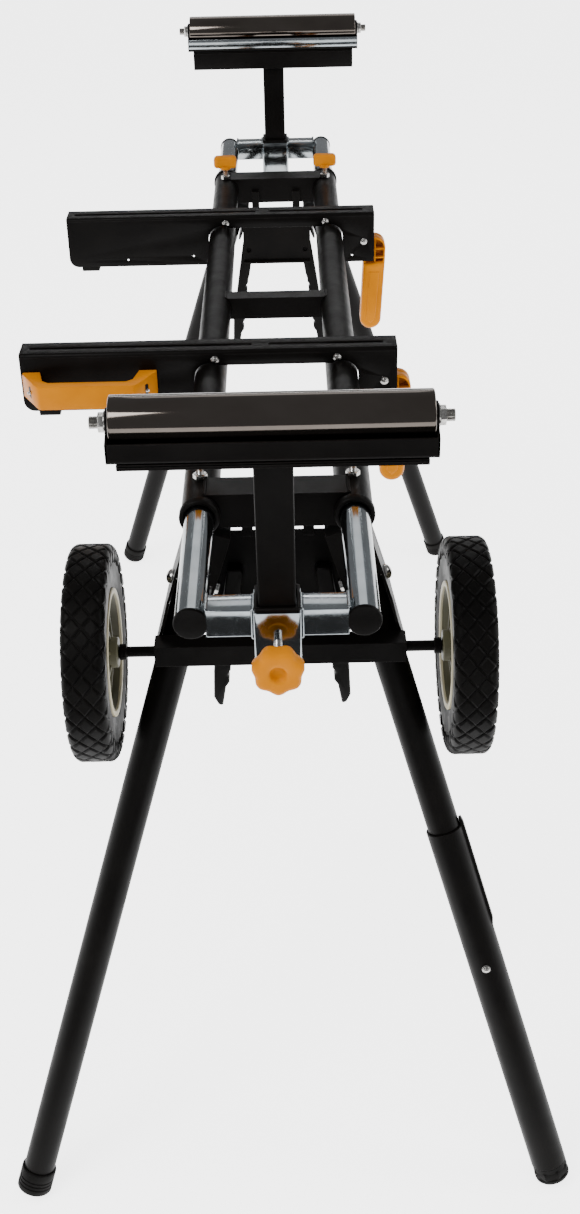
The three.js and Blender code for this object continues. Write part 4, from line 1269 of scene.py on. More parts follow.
# ---- locking knobs
@dataclass
class LockKnobs:
    """Winged knobs on studs that lock the arms."""

    finishes: Finishes
    width: float = 38 * MM
    depth: float = 19 * MM
    height: float = 18 * MM

    def _wings(self, work: Workpiece, at: Vector, low: float) -> None:
        """Add the bow-tie shaped grip with softened faces."""
        rings: list[list[Point3]] = []
        levels = [(0.0, 0.86), (0.08, 0.95), (0.22, 1.0), (0.72, 1.0), (0.9, 0.94), (1.0, 0.82)]
        steps = 48
        for level, share in levels:
            ring = []
            for i in range(steps):
                a = 2 * math.pi * i / steps
                along = math.cos(a)
                across = math.sin(a)
                x = self.width / 2 * math.copysign(abs(along) ** 0.55, along) * share
                waist = 0.66 + 0.34 * min(1.0, abs(x) / (self.width * 0.38)) ** 1.5
                y = self.depth / 2 * math.copysign(abs(across) ** 0.55, across) * share * waist
                ring.append((at.x + x, at.y + y, low + self.height * level))
            rings.append(ring)
        work.skin(rings)

    def build(self) -> None:
        """Build the four knobs."""
        for end in End:
            for side in Side:
                node = f"lock_knob_{end.value}_{side.value}"
                box = Bounds.of(node)
                at = box.centre
                grip = Workpiece(f"wing_grip_{end.value}_{side.value}")
                low = box.high.z - self.height
                self._wings(grip, at, low)
                neck = [
                    (low - 3 * MM, 0.0), (low - 3 * MM, 8.2 * MM), (low - 2.2 * MM, 9 * MM),
                    (low + 2 * MM, 9 * MM), (low + 2 * MM, 0.0)
                ]
                grip.turn(neck, Axis.Z, Vector((at.x, at.y, 0)), 40)
                settle(grip.finish(self.finishes.orange, 50.0), node, "orange_plastic", node)
                stud = Workpiece(f"wing_stud_{end.value}_{side.value}")
                base = low - 20 * MM
                profile: list[Point2] = [(base, 0.0), (base, 3.4 * MM)]
                for i in range(16):
                    z = base + (18.6 * MM) * i / 16
                    profile += [(z, 3.5 * MM), (z + 0.6 * MM, 4.0 * MM)]
                profile += [(low, 3.5 * MM), (low, 0.0)]
                stud.turn(profile, Axis.Z, Vector((at.x, at.y, 0)), 20)
                stud.plate(
                    polygon(at.x, at.y, SCREW_HEX, 6), Axis.Z, base + 0.3 * MM, base + 6.3 * MM,
                    edge=0.5 * MM
                )
                settle(stud.finish(self.finishes.bright), node, "zinc")


# ---- legs
@dataclass
class Leg:
    """One folding leg with its pivot bolt, foot and, on one leg, the sliding outer tube."""

    finishes: Finishes
    hardware: Hardware
    end: End
    side: Side
    joint: dict
    splay: float = math.radians(17)
    rake: float = math.radians(15.5)
    radius: float = 19 * MM
    wall: float = 2 * MM
    top: float = 14 * MM
    cheek: float = 23.6 * MM
    foot_radius: float = 21.5 * MM
    foot_height: float = 32 * MM
    sleeve_top: float = 318 * MM
    sleeve_radius: float = 21.5 * MM
    screw_foot_height: float = 24 * MM
    screw_down: float = 500 * MM

    @property
    def tag(self) -> str:
        """Return the leg's place as used in node names."""
        return f"{self.end.value}_{self.side.value}"

    @property
    def adjustable(self) -> bool:
        """Say whether this leg has the sliding outer tube."""
        return self.end is End.NEAR and self.side is Side.RIGHT

    def _hip(self) -> Matrix:
        """Return the bracket's frame: X along the pivot, Z up the bracket."""
        turn = Matrix.Identity(4) if self.end is End.NEAR else Matrix.Rotation(math.pi, 4, "Z")
        local = self.side.sign if self.end is End.NEAR else -self.side.sign
        lean = Matrix.Rotation(-local * self.splay, 4, "Y")
        return Matrix.Translation(Vector(self.joint["pos_m"])) @ turn @ lean

    def _leg(self) -> Matrix:
        """Return the leg's frame: Z up the tube."""
        return self._hip() @ Matrix.Rotation(-self.rake, 4, "X")

    @property
    def reach(self) -> float:
        """Return the length from the pivot to the foot's end."""
        drop = math.cos(self.splay) * math.cos(self.rake)
        lowest = self.foot_radius * math.sqrt(1 - drop**2)
        return (self.joint["pos_m"][2] - lowest) / drop

    def tube(self) -> None:
        """Build the leg tube."""
        node = f"leg_{self.tag}"
        low = -640 * MM if self.adjustable else -self.reach + 5.3 * MM
        bore = self.radius - self.wall
        profile = [
            (low, bore), (low, self.radius), (self.top - 0.5 * MM, self.radius),
            (self.top, self.radius - 0.5 * MM), (self.top, bore)
        ]
        work = Workpiece(f"leg_tube_{self.tag}")
        work.turn(profile, Axis.Z, ORIGIN, 64, self._leg())
        settle(work.finish(self.finishes.steel), node, "black_steel", node)

    def cap(self) -> None:
        """Build the rubber foot cap with its ribs."""
        node = f"foot_cap_{self.tag}"
        low = -self.reach
        r = self.foot_radius
        profile = [(low, 0.0), (low, r - 3.0 * MM), (low + 0.6 * MM, r - 1.0 * MM), (low + 2.2 * MM, r)]
        for i in range(3):
            z = low + (8 + 5 * i) * MM
            profile += [(z, r), (z + 0.6 * MM, r - 0.8 * MM), (z + 1.8 * MM, r - 0.8 * MM), (z + 2.4 * MM, r)]
        top = low + self.foot_height
        profile += [
            (top - 2 * MM, r), (top - 0.6 * MM, r - 0.5 * MM), (top, r - 1.4 * MM),
            (top, self.radius + 0.3 * MM)
        ]
        profile += [(low + 5 * MM, self.radius + 0.3 * MM), (low + 5 * MM, 0.0)]
        work = Workpiece(f"rubber_cap_{self.tag}")
        work.turn(profile, Axis.Z, ORIGIN, 56, self._leg())
        settle(work.finish(self.finishes.rubber), f"leg_{self.tag}", "rubber", node)

    def sleeve(self) -> None:
        """Build the outer sliding tube with its guide rib and its lock screw."""
        low = -self.reach + self.screw_foot_height + 0.3 * MM
        r = self.sleeve_radius
        bore = self.radius + 0.5 * MM
        top = -self.sleeve_top
        profile = [
            (low, bore), (low, r - 0.4 * MM), (low + 0.4 * MM, r), (top - 0.6 * MM, r), (top, r - 0.6 * MM),
            (top, bore)
        ]
        work = Workpiece("sliding_leg_tube")
        work.turn(profile, Axis.Z, ORIGIN, 64, self._leg())
        sign = self.side.sign
        rib = [
            (bore, top + 8 * MM), (r + 1.2 * MM, top + 9 * MM), (r + 2.6 * MM, top + 2 * MM),
            (r + 2.6 * MM, top - 128 * MM), (r - 0.5 * MM, top - 140 * MM), (bore, top - 140 * MM)
        ]
        placed = [(sign * x, z) for x, z in rib]
        work.plate(placed, Axis.Y, -4.6 * MM, 4.6 * MM, edge=1.2 * MM, matrix=self._leg())
        settle(work.finish(self.finishes.steel), "leg_sleeve", "black_steel", "leg_sleeve")
        frame = self._leg()
        spot = frame @ Vector((0, -r + 0.2 * MM, -self.screw_down))
        facing = frame.to_3x3() @ Vector((0, -1, 0))
        screw = self.hardware.pan_screw().place("sleeve_screw", [(spot, facing)], 0.62)
        settle(screw, "leg_sleeve", "zinc")

    def screw_foot(self) -> None:
        """Build the screw-in rubber foot."""
        low = -self.reach
        work = Workpiece("levelling_foot")
        r = self.foot_radius
        toe = [
            (low, 0.0), (low, r - 6 * MM), (low + 1.5 * MM, r - 2.5 * MM), (low + 4 * MM, r - 0.4 * MM),
            (low + 7 * MM, r), (low + 8 * MM, r - 1 * MM), (low + 8 * MM, 0.0)
        ]
        work.turn(toe, Axis.Z, ORIGIN, 48, self._leg())
        corner = r + 0.8 * MM
        work.plate(
            polygon(0.0, 0.0, corner, 8, 22.5), Axis.Z, low + 7.5 * MM, low + 19 * MM, edge=1.6 * MM,
            matrix=self._leg()
        )
        collar = [
            (low + 18 * MM, 0.0), (low + 18 * MM, r - 0.5 * MM), (low + 23.8 * MM, r - 0.5 * MM),
            (low + 23.8 * MM, 18 * MM), (low + 49 * MM, 18 * MM), (low + 49 * MM, 0.0)
        ]
        work.turn(collar, Axis.Z, ORIGIN, 48, self._leg())
        settle(work.finish(self.finishes.rubber), "screw_foot", "rubber", "screw_foot")

    def pivot(self) -> None:
        """Build the pivot bolt: a domed head outside and a nut inside."""
        node = f"pivot_bolt_{self.tag}"
        local = self.side.sign if self.end is End.NEAR else -self.side.sign
        turn = Matrix.Identity(4) if local > 0 else Matrix.Rotation(math.pi, 4, "Z")
        place = self._hip() @ turn
        head = self.cheek + 0.3 * MM
        work = Workpiece(f"pivot_bolt_piece_{self.tag}")
        dome = [(head + 6.4 * MM * math.sin(a), 8.8 * MM * math.cos(a)) for a in (0.0, 0.3, 0.6, 0.9, 1.2)]
        profile = [
            (-head - 6 * MM, 0.0), (-head - 6 * MM, 4.6 * MM), (head, 5 * MM), *dome, (head + 6.5 * MM, 0.0)
        ]
        work.turn(profile, Axis.X, ORIGIN, 40, place)
        work.plate(
            polygon(0.0, 0.0, SCREW_HEX, 6), Axis.X, -head - 6 * MM, -head, edge=0.5 * MM, matrix=place
        )
        settle(work.finish(self.finishes.bright), "frame", "zinc", node)

    def build(self) -> None:
        """Build the leg."""
        self.tube()
        self.pivot()
        if self.adjustable:
            self.sleeve()
            self.screw_foot()
        else:
            self.cap()


@dataclass
class Triggers:
    """Serrated squeeze triggers that free the legs."""

    finishes: Finishes
    teeth: int = 6

    def _outline(self, x: float, z: float, tip: float, sign: int) -> list[Point2]:
        """Return one trigger's outline, with finger serrations on its inner edge."""
        points: list[Point2] = [(x + 10 * MM, z + 9 * MM), (x - 5 * MM, z + 9 * MM)]
        points += [(x - 8 * MM, z + 4 * MM), (x + 0.5 * MM, z - 46 * MM)]
        start = Vector((x + 3 * MM, z - 54 * MM))
        stop = Vector((x + 15 * MM, tip + 22 * MM))
        for i in range(self.teeth):
            first = start.lerp(stop, i / self.teeth)
            crest = start.lerp(stop, (i + 0.35) / self.teeth)
            valley = start.lerp(stop, (i + 0.75) / self.teeth)
            points += [(first.x, first.y), (crest.x - 0.4 * MM, crest.y), (valley.x + 3.2 * MM, valley.y)]
        points += [
            (x + 22 * MM, tip + 1 * MM), (x + 24.5 * MM, tip), (x + 28 * MM, tip + 2 * MM),
            (x + 32.6 * MM, tip + 12 * MM)
        ]
        points += [(x + 31 * MM, tip + 50 * MM), (x + 19 * MM, z - 48 * MM)]
        return [(sign * px, pz) for px, pz in points]

    def build(self) -> None:
        """Build the four triggers."""
        for end in End:
            for side in Side:
                node = f"trigger_{end.value}_{side.value}"
                box = Bounds.of(node)
                panel = Bounds.of(f"end_beam_{end.value}")
                face = panel.high.y - 9 * MM if end is End.NEAR else panel.low.y + 9 * MM
                y0, y1 = sorted((face - 0.3 * MM * -end.sign, face + end.sign * 16.3 * MM))
                z = box.high.z - 9 * MM
                work = Workpiece(f"squeeze_trigger_{end.value}_{side.value}")
                work.plate(
                    self._outline(48 * MM, z, box.low.z, side.sign), Axis.Y, y0 + 0.3 * MM, y1,
                    edge=2.4 * MM
                )
                settle(work.finish(self.finishes.plastic, 50.0), node, "black_plastic", node)


# ---- wheels
@dataclass
class Wheel:
    """One wheel: a tyre with diamond tread, and a dished hub with ribs."""

    finishes: Finishes
    side: Side
    rows: int = 3
    row_step: float = 9.9 * MM
    around: int = 31
    block_long: float = 22.6 * MM
    block_wide: float = 18.4 * MM
    relief: float = 1.7 * MM
    shoulder: float = 7 * MM
    grid: int = 8
    ribs: int = 6

    def _across(self, u: float, half: float, radius: float) -> tuple[float, float, float]:
        """Return where a distance from the crown's middle falls on the bare casing.

        Args:
            u: Distance across the tread, over the shoulder and down the side.
            half: Half the tyre's width.
            radius: The tyre's radius over its tread.

        Returns:
            The place along the axle, the radius, and the tilt of the surface in radians.
        """
        side = math.copysign(1.0, u)
        reach = abs(u)
        flat = half - self.relief - self.shoulder
        crown = radius - self.relief
        turn = self.shoulder * math.pi / 2
        if reach <= flat:
            return u, crown, 0.0
        if reach <= flat + turn:
            tilt = (reach - flat) / self.shoulder
            x = flat + self.shoulder * math.sin(tilt)
            return side * x, crown - self.shoulder * (1 - math.cos(tilt)), side * tilt
        return side * (half - self.relief), crown - self.shoulder - (reach - flat - turn), side * math.pi / 2

    def _base_profile(self, half: float, radius: float, bead: float) -> list[Point2]:
        """Return the tyre's cross-section without its tread."""
        wall = half - self.relief
        profile: list[Point2] = [
            (-wall + 3 * MM, bead), (-wall + 1.4 * MM, bead + 2 * MM), (-wall + 1.6 * MM, bead + 6 * MM)
        ]
        profile += [(-wall, bead + 8 * MM), (-wall, radius - 26 * MM), (-wall - 0.5 * MM, radius - 25 * MM)]
        profile += [(-wall - 0.5 * MM, radius - 22 * MM), (-wall, radius - 21 * MM)]
        limit = half - self.relief - self.shoulder + self.shoulder * math.pi / 2
        profile += [self._across(-limit * (1 - i / 10), half, radius)[:2] for i in range(11)]
        mirrored = [(-along, r) for along, r in reversed(profile[:-1])]
        return profile + mirrored

    def _block(self, work: Workpiece, u0: float, v0: float, half: float, radius: float) -> None:
        """Add one diamond block, bent over the casing, at a distance across and an angle round."""
        grid = self.grid
        raised: list[list[bmesh.types.BMVert]] = []
        sunk: list[list[bmesh.types.BMVert]] = []
        for i in range(grid + 1):
            upper, lower = [], []
            for j in range(grid + 1):
                a, b = 2 * i / grid - 1, 2 * j / grid - 1
                u = u0 + (a - b) / 2 * self.block_wide / 2
                angle = v0 + (a + b) / 2 * self.block_long / 2 / radius
                x, r, tilt = self._across(u, half, radius)
                rim = 1 - max(abs(a), abs(b))
                height = self.relief * min(1.0, 0.25 + rim * 4.0)
                for rows, lift in ((upper, height), (lower, -0.8 * MM)):
                    place = r + lift * math.cos(tilt)
                    rows.append(
                        work.bm.verts.new(
                            (x + lift * math.sin(tilt), place * math.cos(angle), place * math.sin(angle))
                        )
                    )
            raised.append(upper)
            sunk.append(lower)
        for i in range(grid):
            for j in range(grid):
                work.bm.faces.new((raised[i][j], raised[i + 1][j], raised[i + 1][j + 1], raised[i][j + 1]))
                work.bm.faces.new((sunk[i][j], sunk[i][j + 1], sunk[i + 1][j + 1], sunk[i + 1][j]))
        for k in range(grid):
            for first, second in (
                ((k, 0), (k + 1, 0)), ((k + 1, grid), (k, grid)), ((0, k + 1), (0, k)),
                ((grid, k), (grid, k + 1))
            ):
                (i, j), (m, n) = first, second
                work.bm.faces.new((raised[i][j], sunk[i][j], sunk[m][n], raised[m][n]))

    def _tread(self, at: Vector, half: float, radius: float, body: str) -> None:
        """Add the tread: one slice of bent diamonds, repeated round the wheel by a node tree."""
        pitch = 2 * math.pi / self.around
        work = Workpiece(f"tread_slice_{self.side.value}")
        for row in range(-self.rows, self.rows + 1):
            self._block(work, row * self.row_step, 0.5 * pitch * (row % 2), half, radius)
        bmesh.ops.recalc_face_normals(work.bm, faces=work.bm.faces)
        tread = work.finish(self.finishes.tyre, 25.0)
        bpy.context.scene.collection.objects.unlink(tread)
        sheet = GeometrySheet(f"tread_tree_{self.side.value}")
        size = sheet.number("Slice Size")
        step = sheet.number("Slice Angle")
        index = sheet.node("GeometryNodeInputIndex")
        product = sheet.node("ShaderNodeMath")
        product.operation = "MULTIPLY"
        sheet.link(index.outputs[0], product.inputs[0])
        sheet.link(step, product.inputs[1])
        turn = sheet.node("FunctionNodeAxisAngleToRotation", Axis=(1.0, 0.0, 0.0))
        sheet.link(product.outputs[0], turn.inputs["Angle"])
        source = sheet.node("GeometryNodeObjectInfo")
        source.inputs["Object"].default_value = tread
        copies = sheet.node("GeometryNodeInstanceOnPoints")
        sheet.link(sheet.source.outputs[0], copies.inputs["Points"])
        sheet.link(source.outputs["Geometry"], copies.inputs["Instance"])
        sheet.link(turn.outputs[0], copies.inputs["Rotation"])
        sheet.link(size, copies.inputs["Scale"])
        sheet.end(copies.outputs[0], self.finishes.tyre)
        start = points_mesh(f"tread_points_{self.side.value}", [(at, Vector((1, 0, 0)))] * self.around)
        values = {"Slice Size": 1.0, "Slice Angle": pitch}
        settle(sheet.run(f"tread_blocks_{self.side.value}", start, values, self.finishes.tyre), body, "tyre")

    def tyre(self) -> None:
        """Build the tyre."""
        node = f"tyre_{self.side.value}"
        box = Bounds.of(node)
        at = box.centre
        half = box.size.x / 2
        radius = box.size.z / 2
        bead = Bounds.of(f"wheel_hub_{self.side.value}").size.z / 2 + 0.2 * MM
        body = f"wheel_{self.side.value}"
        work = Workpiece(f"tyre_casing_{self.side.value}")
        work.turn(self._base_profile(half, radius, bead), Axis.X, at, 128)
        settle(work.finish(self.finishes.tyre, 50.0), body, "tyre", node)
        self._tread(at, half, radius, body)

    def hub(self) -> None:
        """Build the hub: rolled rim, dish, ribs and barrel."""
        node = f"wheel_hub_{self.side.value}"
        box = Bounds.of(node)
        at = box.centre
        radius = box.size.z / 2
        half = box.size.x / 2
        rim = 21 * MM
        barrel = radius - 6.5 * MM
        profile: list[Point2] = [
            (-rim, radius - 0.4 * MM), (-rim - 0.6 * MM, radius - 2.4 * MM), (-rim, radius - 5 * MM),
            (-rim + 3 * MM, barrel)
        ]
        profile += [
            (-7 * MM, barrel - 2 * MM), (-4.5 * MM, barrel - 6 * MM), (-3.5 * MM, 24 * MM),
            (-6 * MM, 18 * MM), (-half + 1 * MM, 17 * MM), (-half, 16 * MM), (-half, 6.6 * MM)
        ]
        mirrored = [(-along, r) for along, r in reversed(profile)]
        # The dish and its barrel take the darker nylon, which is painted shade for the inside of the dish.
        # Only the rim ring shows the hub's own cream.
        work = Workpiece(f"hub_dish_{self.side.value}")
        work.turn(profile + mirrored, Axis.X, at, 96)
        settle(work.finish(self.finishes.hub_painted_shade, 30.0), f"wheel_{self.side.value}", "hub_cream", node)
        ring = Workpiece(f"hub_rim_ring_{self.side.value}")
        for sign in (-1, 1):
            face = rim + 0.75 * MM
            lip = [
                (sign * (face - 3 * MM), radius - 0.1 * MM), (sign * (face - 0.6 * MM), radius - 0.1 * MM),
                (sign * face, radius - 0.9 * MM)
            ]
            lip += [
                (sign * face, radius - 4.8 * MM), (sign * (face - 0.8 * MM), radius - 5.9 * MM),
                (sign * (face - 3 * MM), radius - 6.2 * MM)
            ]
            ring.turn(lip, Axis.X, at, 96)
        settle(ring.finish(self.finishes.cream), f"wheel_{self.side.value}", "hub_cream")
        self._ribs(at, barrel)

    def _ribs(self, at: Vector, barrel: float) -> None:
        """Add the radial ribs on both faces of the dish."""
        # The ribs sit inside the dish and take the same painted shade.
        work = Workpiece(f"hub_ribs_{self.side.value}")
        for i in range(self.ribs):
            turn = Matrix.Translation(at) @ Matrix.Rotation(2 * math.pi * i / self.ribs, 4, "X")
            for sign in (-1, 1):
                rib = [
                    (16 * MM, sign * 3 * MM), (barrel - 1 * MM, sign * 3 * MM),
                    (barrel - 1 * MM, sign * 11 * MM), (16 * MM, sign * 18 * MM)
                ]
                placed = [(sign_x, r) for r, sign_x in rib]
                work.plate(placed, Axis.Y, -2 * MM, 2 * MM, edge=0.7 * MM, matrix=turn)
        settle(work.finish(self.finishes.hub_painted_shade), f"wheel_{self.side.value}", "hub_cream")

    def build(self) -> None:
        """Build the wheel."""
        self.tyre()
        self.hub()


@dataclass
class Axle:
    """The axle rod with its collars and end nuts."""

    finishes: Finishes
    radius: float = 6 * MM

    def build(self) -> None:
        """Build the rod."""
        box = Bounds.of("axle_rod")
        at = Vector((0, box.centre.y, box.centre.z))
        reach = box.high.x
        hub = Bounds.of("wheel_hub_right")
        inner, outer = hub.low.x, hub.high.x
        r = self.radius
        half: list[Point2] = [
            (0.0, r), (inner - 9 * MM, r), (inner - 9 * MM, r + 2.4 * MM), (inner - 8.4 * MM, r + 3 * MM),
            (inner - 1.6 * MM, r + 3 * MM), (inner - 1 * MM, r + 2.4 * MM), (inner - 1 * MM, r)
        ]
        half += [
            (outer + 0.6 * MM, r), (outer + 0.6 * MM, r + 2.6 * MM), (reach - 0.8 * MM, r + 2.6 * MM),
            (reach, r + 1.6 * MM), (reach, 0.0)
        ]
        mirrored = [(-along, radius) for along, radius in reversed(half[1:])]
        work = Workpiece("axle_rod_piece")
        work.turn(mirrored + half[1:], Axis.X, at, 40)
        settle(work.finish(self.finishes.steel), "frame", "black_steel", "axle_rod")


# ---- saw brackets
@dataclass
class SawBracket:
    """One folded bracket across the rails, with its clamp lever."""

    finishes: Finishes
    hardware: Hardware
    end: End
    sheet: float = 3 * MM
    bend: float = 4.5 * MM
    slot_half: float = 3.25 * MM
    slots: tuple[Point2, ...] = ((-310 * MM, -30 * MM), (-10 * MM, 135 * MM))
    middle_bottom: float = 17.3 * MM
    step: float = 105 * MM
    corner: float = 14 * MM
    saddle: float = 20.9 * MM

    @property
    def body(self) -> str:
        """Return the bracket's body."""
        return f"saw_bracket_{self.end.value}"

    def _face(self, box: Bounds, rail_x: float, rail_z: float) -> list[Point2]:
        """Return the face's outline, with a round arch over each rail."""
        low, top = box.low.z, box.high.z - self.bend
        angle = math.degrees(math.asin(self.middle_bottom / self.saddle))
        foot = math.degrees(
            math.acos((self.step - rail_x) / self.saddle)
        ) if self.step - rail_x < self.saddle else 0.0
        edge = rail_x + self.saddle
        outline: list[Point2] = [(box.low.x, top), (box.low.x, low + self.corner)]
        outline += arc(box.low.x + self.corner, low + self.corner, self.corner, 180, 270, 6)
        outline += [(-edge - 1.5 * MM, low), (-edge, low + 1.5 * MM)]
        outline += arc(-rail_x, rail_z, self.saddle, 180 + foot, angle, 14)
        outline += arc(rail_x, rail_z, self.saddle, 180 - angle, -foot, 14)
        outline += [(edge, low + 1.5 * MM), (edge + 1.5 * MM, low)]
        outline += arc(box.high.x - 3 * MM, low + 3 * MM, 3 * MM, 270, 360, 4)
        outline += [(box.high.x, top)]
        return outline

    def fold(self) -> None:
        """Build the folded bracket: face, bend, slotted top flange and back lip."""
        box = Bounds.of(self.body)
        rail = Bounds.of("main_rail_right")
        rail_x, rail_z = rail.centre.x, rail.centre.z
        y0, y1 = box.low.y, box.high.y
        top = box.high.z
        work = Workpiece(f"bracket_fold_{self.end.value}")
        hole_z = rail_z - 8 * MM
        round_hole = arc(136 * MM, hole_z, 4.6 * MM, 360, 15, 23)
        small = [
            arc(x * MM, rail_z + z * MM, 1.6 * MM, 360, 24, 14) for x,
            z in ((-128.0, -26.0), (-230.0, -30.0), (118.0, -30.0))
        ]
        work.plate(
            self._face(box, rail_x, rail_z), Axis.Y, y0, y0 + self.sheet, [round_hole, *small],
            edge=0.5 * MM
        )
        bend = [(y0, top - self.bend - 0.5 * MM)]
        bend += arc(y0 + self.bend, top - self.bend, self.bend, 180, 90, 6)
        bend += [(y0 + self.bend + 0.5 * MM, top), (y0 + self.bend + 0.5 * MM, top - self.sheet)]
        bend += arc(y0 + self.bend, top - self.bend, self.bend - self.sheet, 90, 180, 4)
        bend += [(y0 + self.sheet, top - self.bend - 0.5 * MM)]
        work.plate(bend, Axis.X, box.low.x, box.high.x, edge=0.2 * MM)
        flange = [
            (box.low.x, y0 + self.bend), (box.high.x, y0 + self.bend), (box.high.x, y1), (box.low.x, y1)
        ]
        middle = (y0 + y1) / 2
        holes = [
            rounded_rectangle(
                a, b, middle - self.slot_half, middle + self.slot_half, self.slot_half - 0.01 * MM
            ) for a,
            b in self.slots
        ]
        work.plate(flange, Axis.Z, top - self.sheet, top, holes, edge=0.5 * MM)
        work.box((box.low.x, y1 - self.sheet, top - 10 * MM), (box.high.x, y1, top - 0.4 * MM), edge=0.9 * MM)
        settle(work.finish(self.finishes.steel), self.body, "black_steel", self.body)

    def screws(self) -> None:
        """Add the pan-head screws on the face."""
        box = Bounds.of(self.body)
        rail = Bounds.of("main_rail_right")
        out = Vector((0, -1, 0))
        y = box.low.y
        places = [
            (Vector((sign * (rail.centre.x - 6 * MM), y, rail.centre.z + 25 * MM)), out) for sign in (-1, 1)
        ]
        piece = self.hardware.pan_screw().place(f"bracket_screws_{self.end.value}", places, 0.62)
        settle(piece, self.body, "zinc")

    def pad(self) -> None:
        """Build the rubber stop under the bracket's long end."""
        box = Bounds.of(self.body)
        work = Workpiece(f"bracket_pad_{self.end.value}")
        x0 = box.low.x + 18 * MM
        work.box(
            (x0, box.low.y + 1 * MM, box.low.z - 7 * MM),
            (x0 + 27 * MM, box.low.y + 20 * MM, box.low.z + 5 * MM), edge=1.5 * MM
        )
        settle(work.finish(self.finishes.rubber), self.body, "rubber")

    def lever(self) -> None:
        """Build the clamp lever: a tapered moulded shell on a boss, with its pivot screw."""
        node = f"clamp_lever_{self.end.value}"
        box = Bounds.of(node)
        rail_z = Bounds.of("main_rail_right").centre.z
        face = Bounds.of(self.body).low.y
        front = face + self.sheet + 1 * MM
        back = front + 30 * MM
        top = Vector((154 * MM, rail_z - 22 * MM))
        tip = Vector((148 * MM, rail_z - 138 * MM))
        neck = top.lerp(tip, 0.2)
        top_r, tip_r = 17 * MM, 16.5 * MM

        def ring(y: float, shrink: float) -> list[Point3]:
            """Return the lever's outline at one depth, drawn in by an amount."""
            points = arc(tip.x, tip.y, tip_r - shrink, 180, 360, 20)
            points += [(neck.x + top_r - shrink, neck.y - shrink), (neck.x - top_r + shrink, neck.y - shrink)]
            return [(x, y, z) for x, z in points]

        depths = [
            (0.0, 7.0), (0.5, 4.2), (1.6, 2.2), (3.4, 0.8), (6.0, 0.0), (24.0, 0.0), (29.0, 0.5),
            (30.0, 1.2)
        ]
        work = Workpiece(f"clamp_grip_{self.end.value}")
        rings = [ring(front + depth * MM, shrink * MM) for depth, shrink in depths]
        rings += [ring(back, 3.0 * MM), ring(back - 4 * MM, 3.4 * MM)]
        work.skin(rings)
        upper = arc(neck.x, neck.y, top_r, 180, 360, 6) + arc(top.x, top.y, top_r - 0.5 * MM, 0, 180, 20)
        work.plate(upper, Axis.Y, front + 17 * MM, back, edge=0.8 * MM)
        rim = [(x, z) for x, z in upper]
        inner = [(top.x + (x - top.x) * 0.84, top.y + (z - top.y) * 0.84) for x, z in upper]
        work.plate(rim, Axis.Y, front + 4 * MM, front + 18 * MM, [inner], edge=0.6 * MM)
        for drop in (2 * MM, 16 * MM):
            work.box(
                (top.x - top_r + 1 * MM, front + 5 * MM, top.y - drop - 1 * MM),
                (top.x + top_r - 1 * MM, front + 18 * MM, top.y - drop + 1 * MM), edge=0.5 * MM
            )
        work.box(
            (top.x - 1 * MM, front + 5 * MM, top.y - 24 * MM),
            (top.x + 1 * MM, front + 18 * MM, top.y + top_r - 2 * MM), edge=0.5 * MM
        )
        pivot = Vector((136 * MM, 0, rail_z - 8 * MM))
        boss = [
            (front, 0.0), (front, 11 * MM), (front + 1 * MM, 12 * MM), (back - 1 * MM, 12 * MM),
            (back, 11 * MM), (back, 0.0)
        ]
        work.turn(boss, Axis.Y, pivot, 40)
        spine = [
            (neck.x - 8 * MM, neck.y - 14 * MM), (neck.x + 8 * MM, neck.y - 14 * MM),
            (tip.x + 7 * MM, tip.y + 1 * MM), (tip.x, tip.y - 6 * MM), (tip.x - 7 * MM, tip.y + 1 * MM)
        ]
        work.plate(spine, Axis.Y, front - 1.4 * MM, front + 6 * MM, edge=1.3 * MM)
        settle(work.finish(self.finishes.orange, 45.0), node, "orange_plastic", node)
        screw = self.hardware.pan_screw().place(
            f"lever_screw_{self.end.value}", [(Vector((pivot.x, face, pivot.z)), Vector((0, -1, 0)))], 0.62
        )
        settle(screw, node, "zinc")
        LOG.info("lever box %s", tuple(round(v, 3) for v in box.size))

    def build(self) -> None:
        """Build the bracket."""
        self.fold()
        self.screws()
        self.pad()
        self.lever()


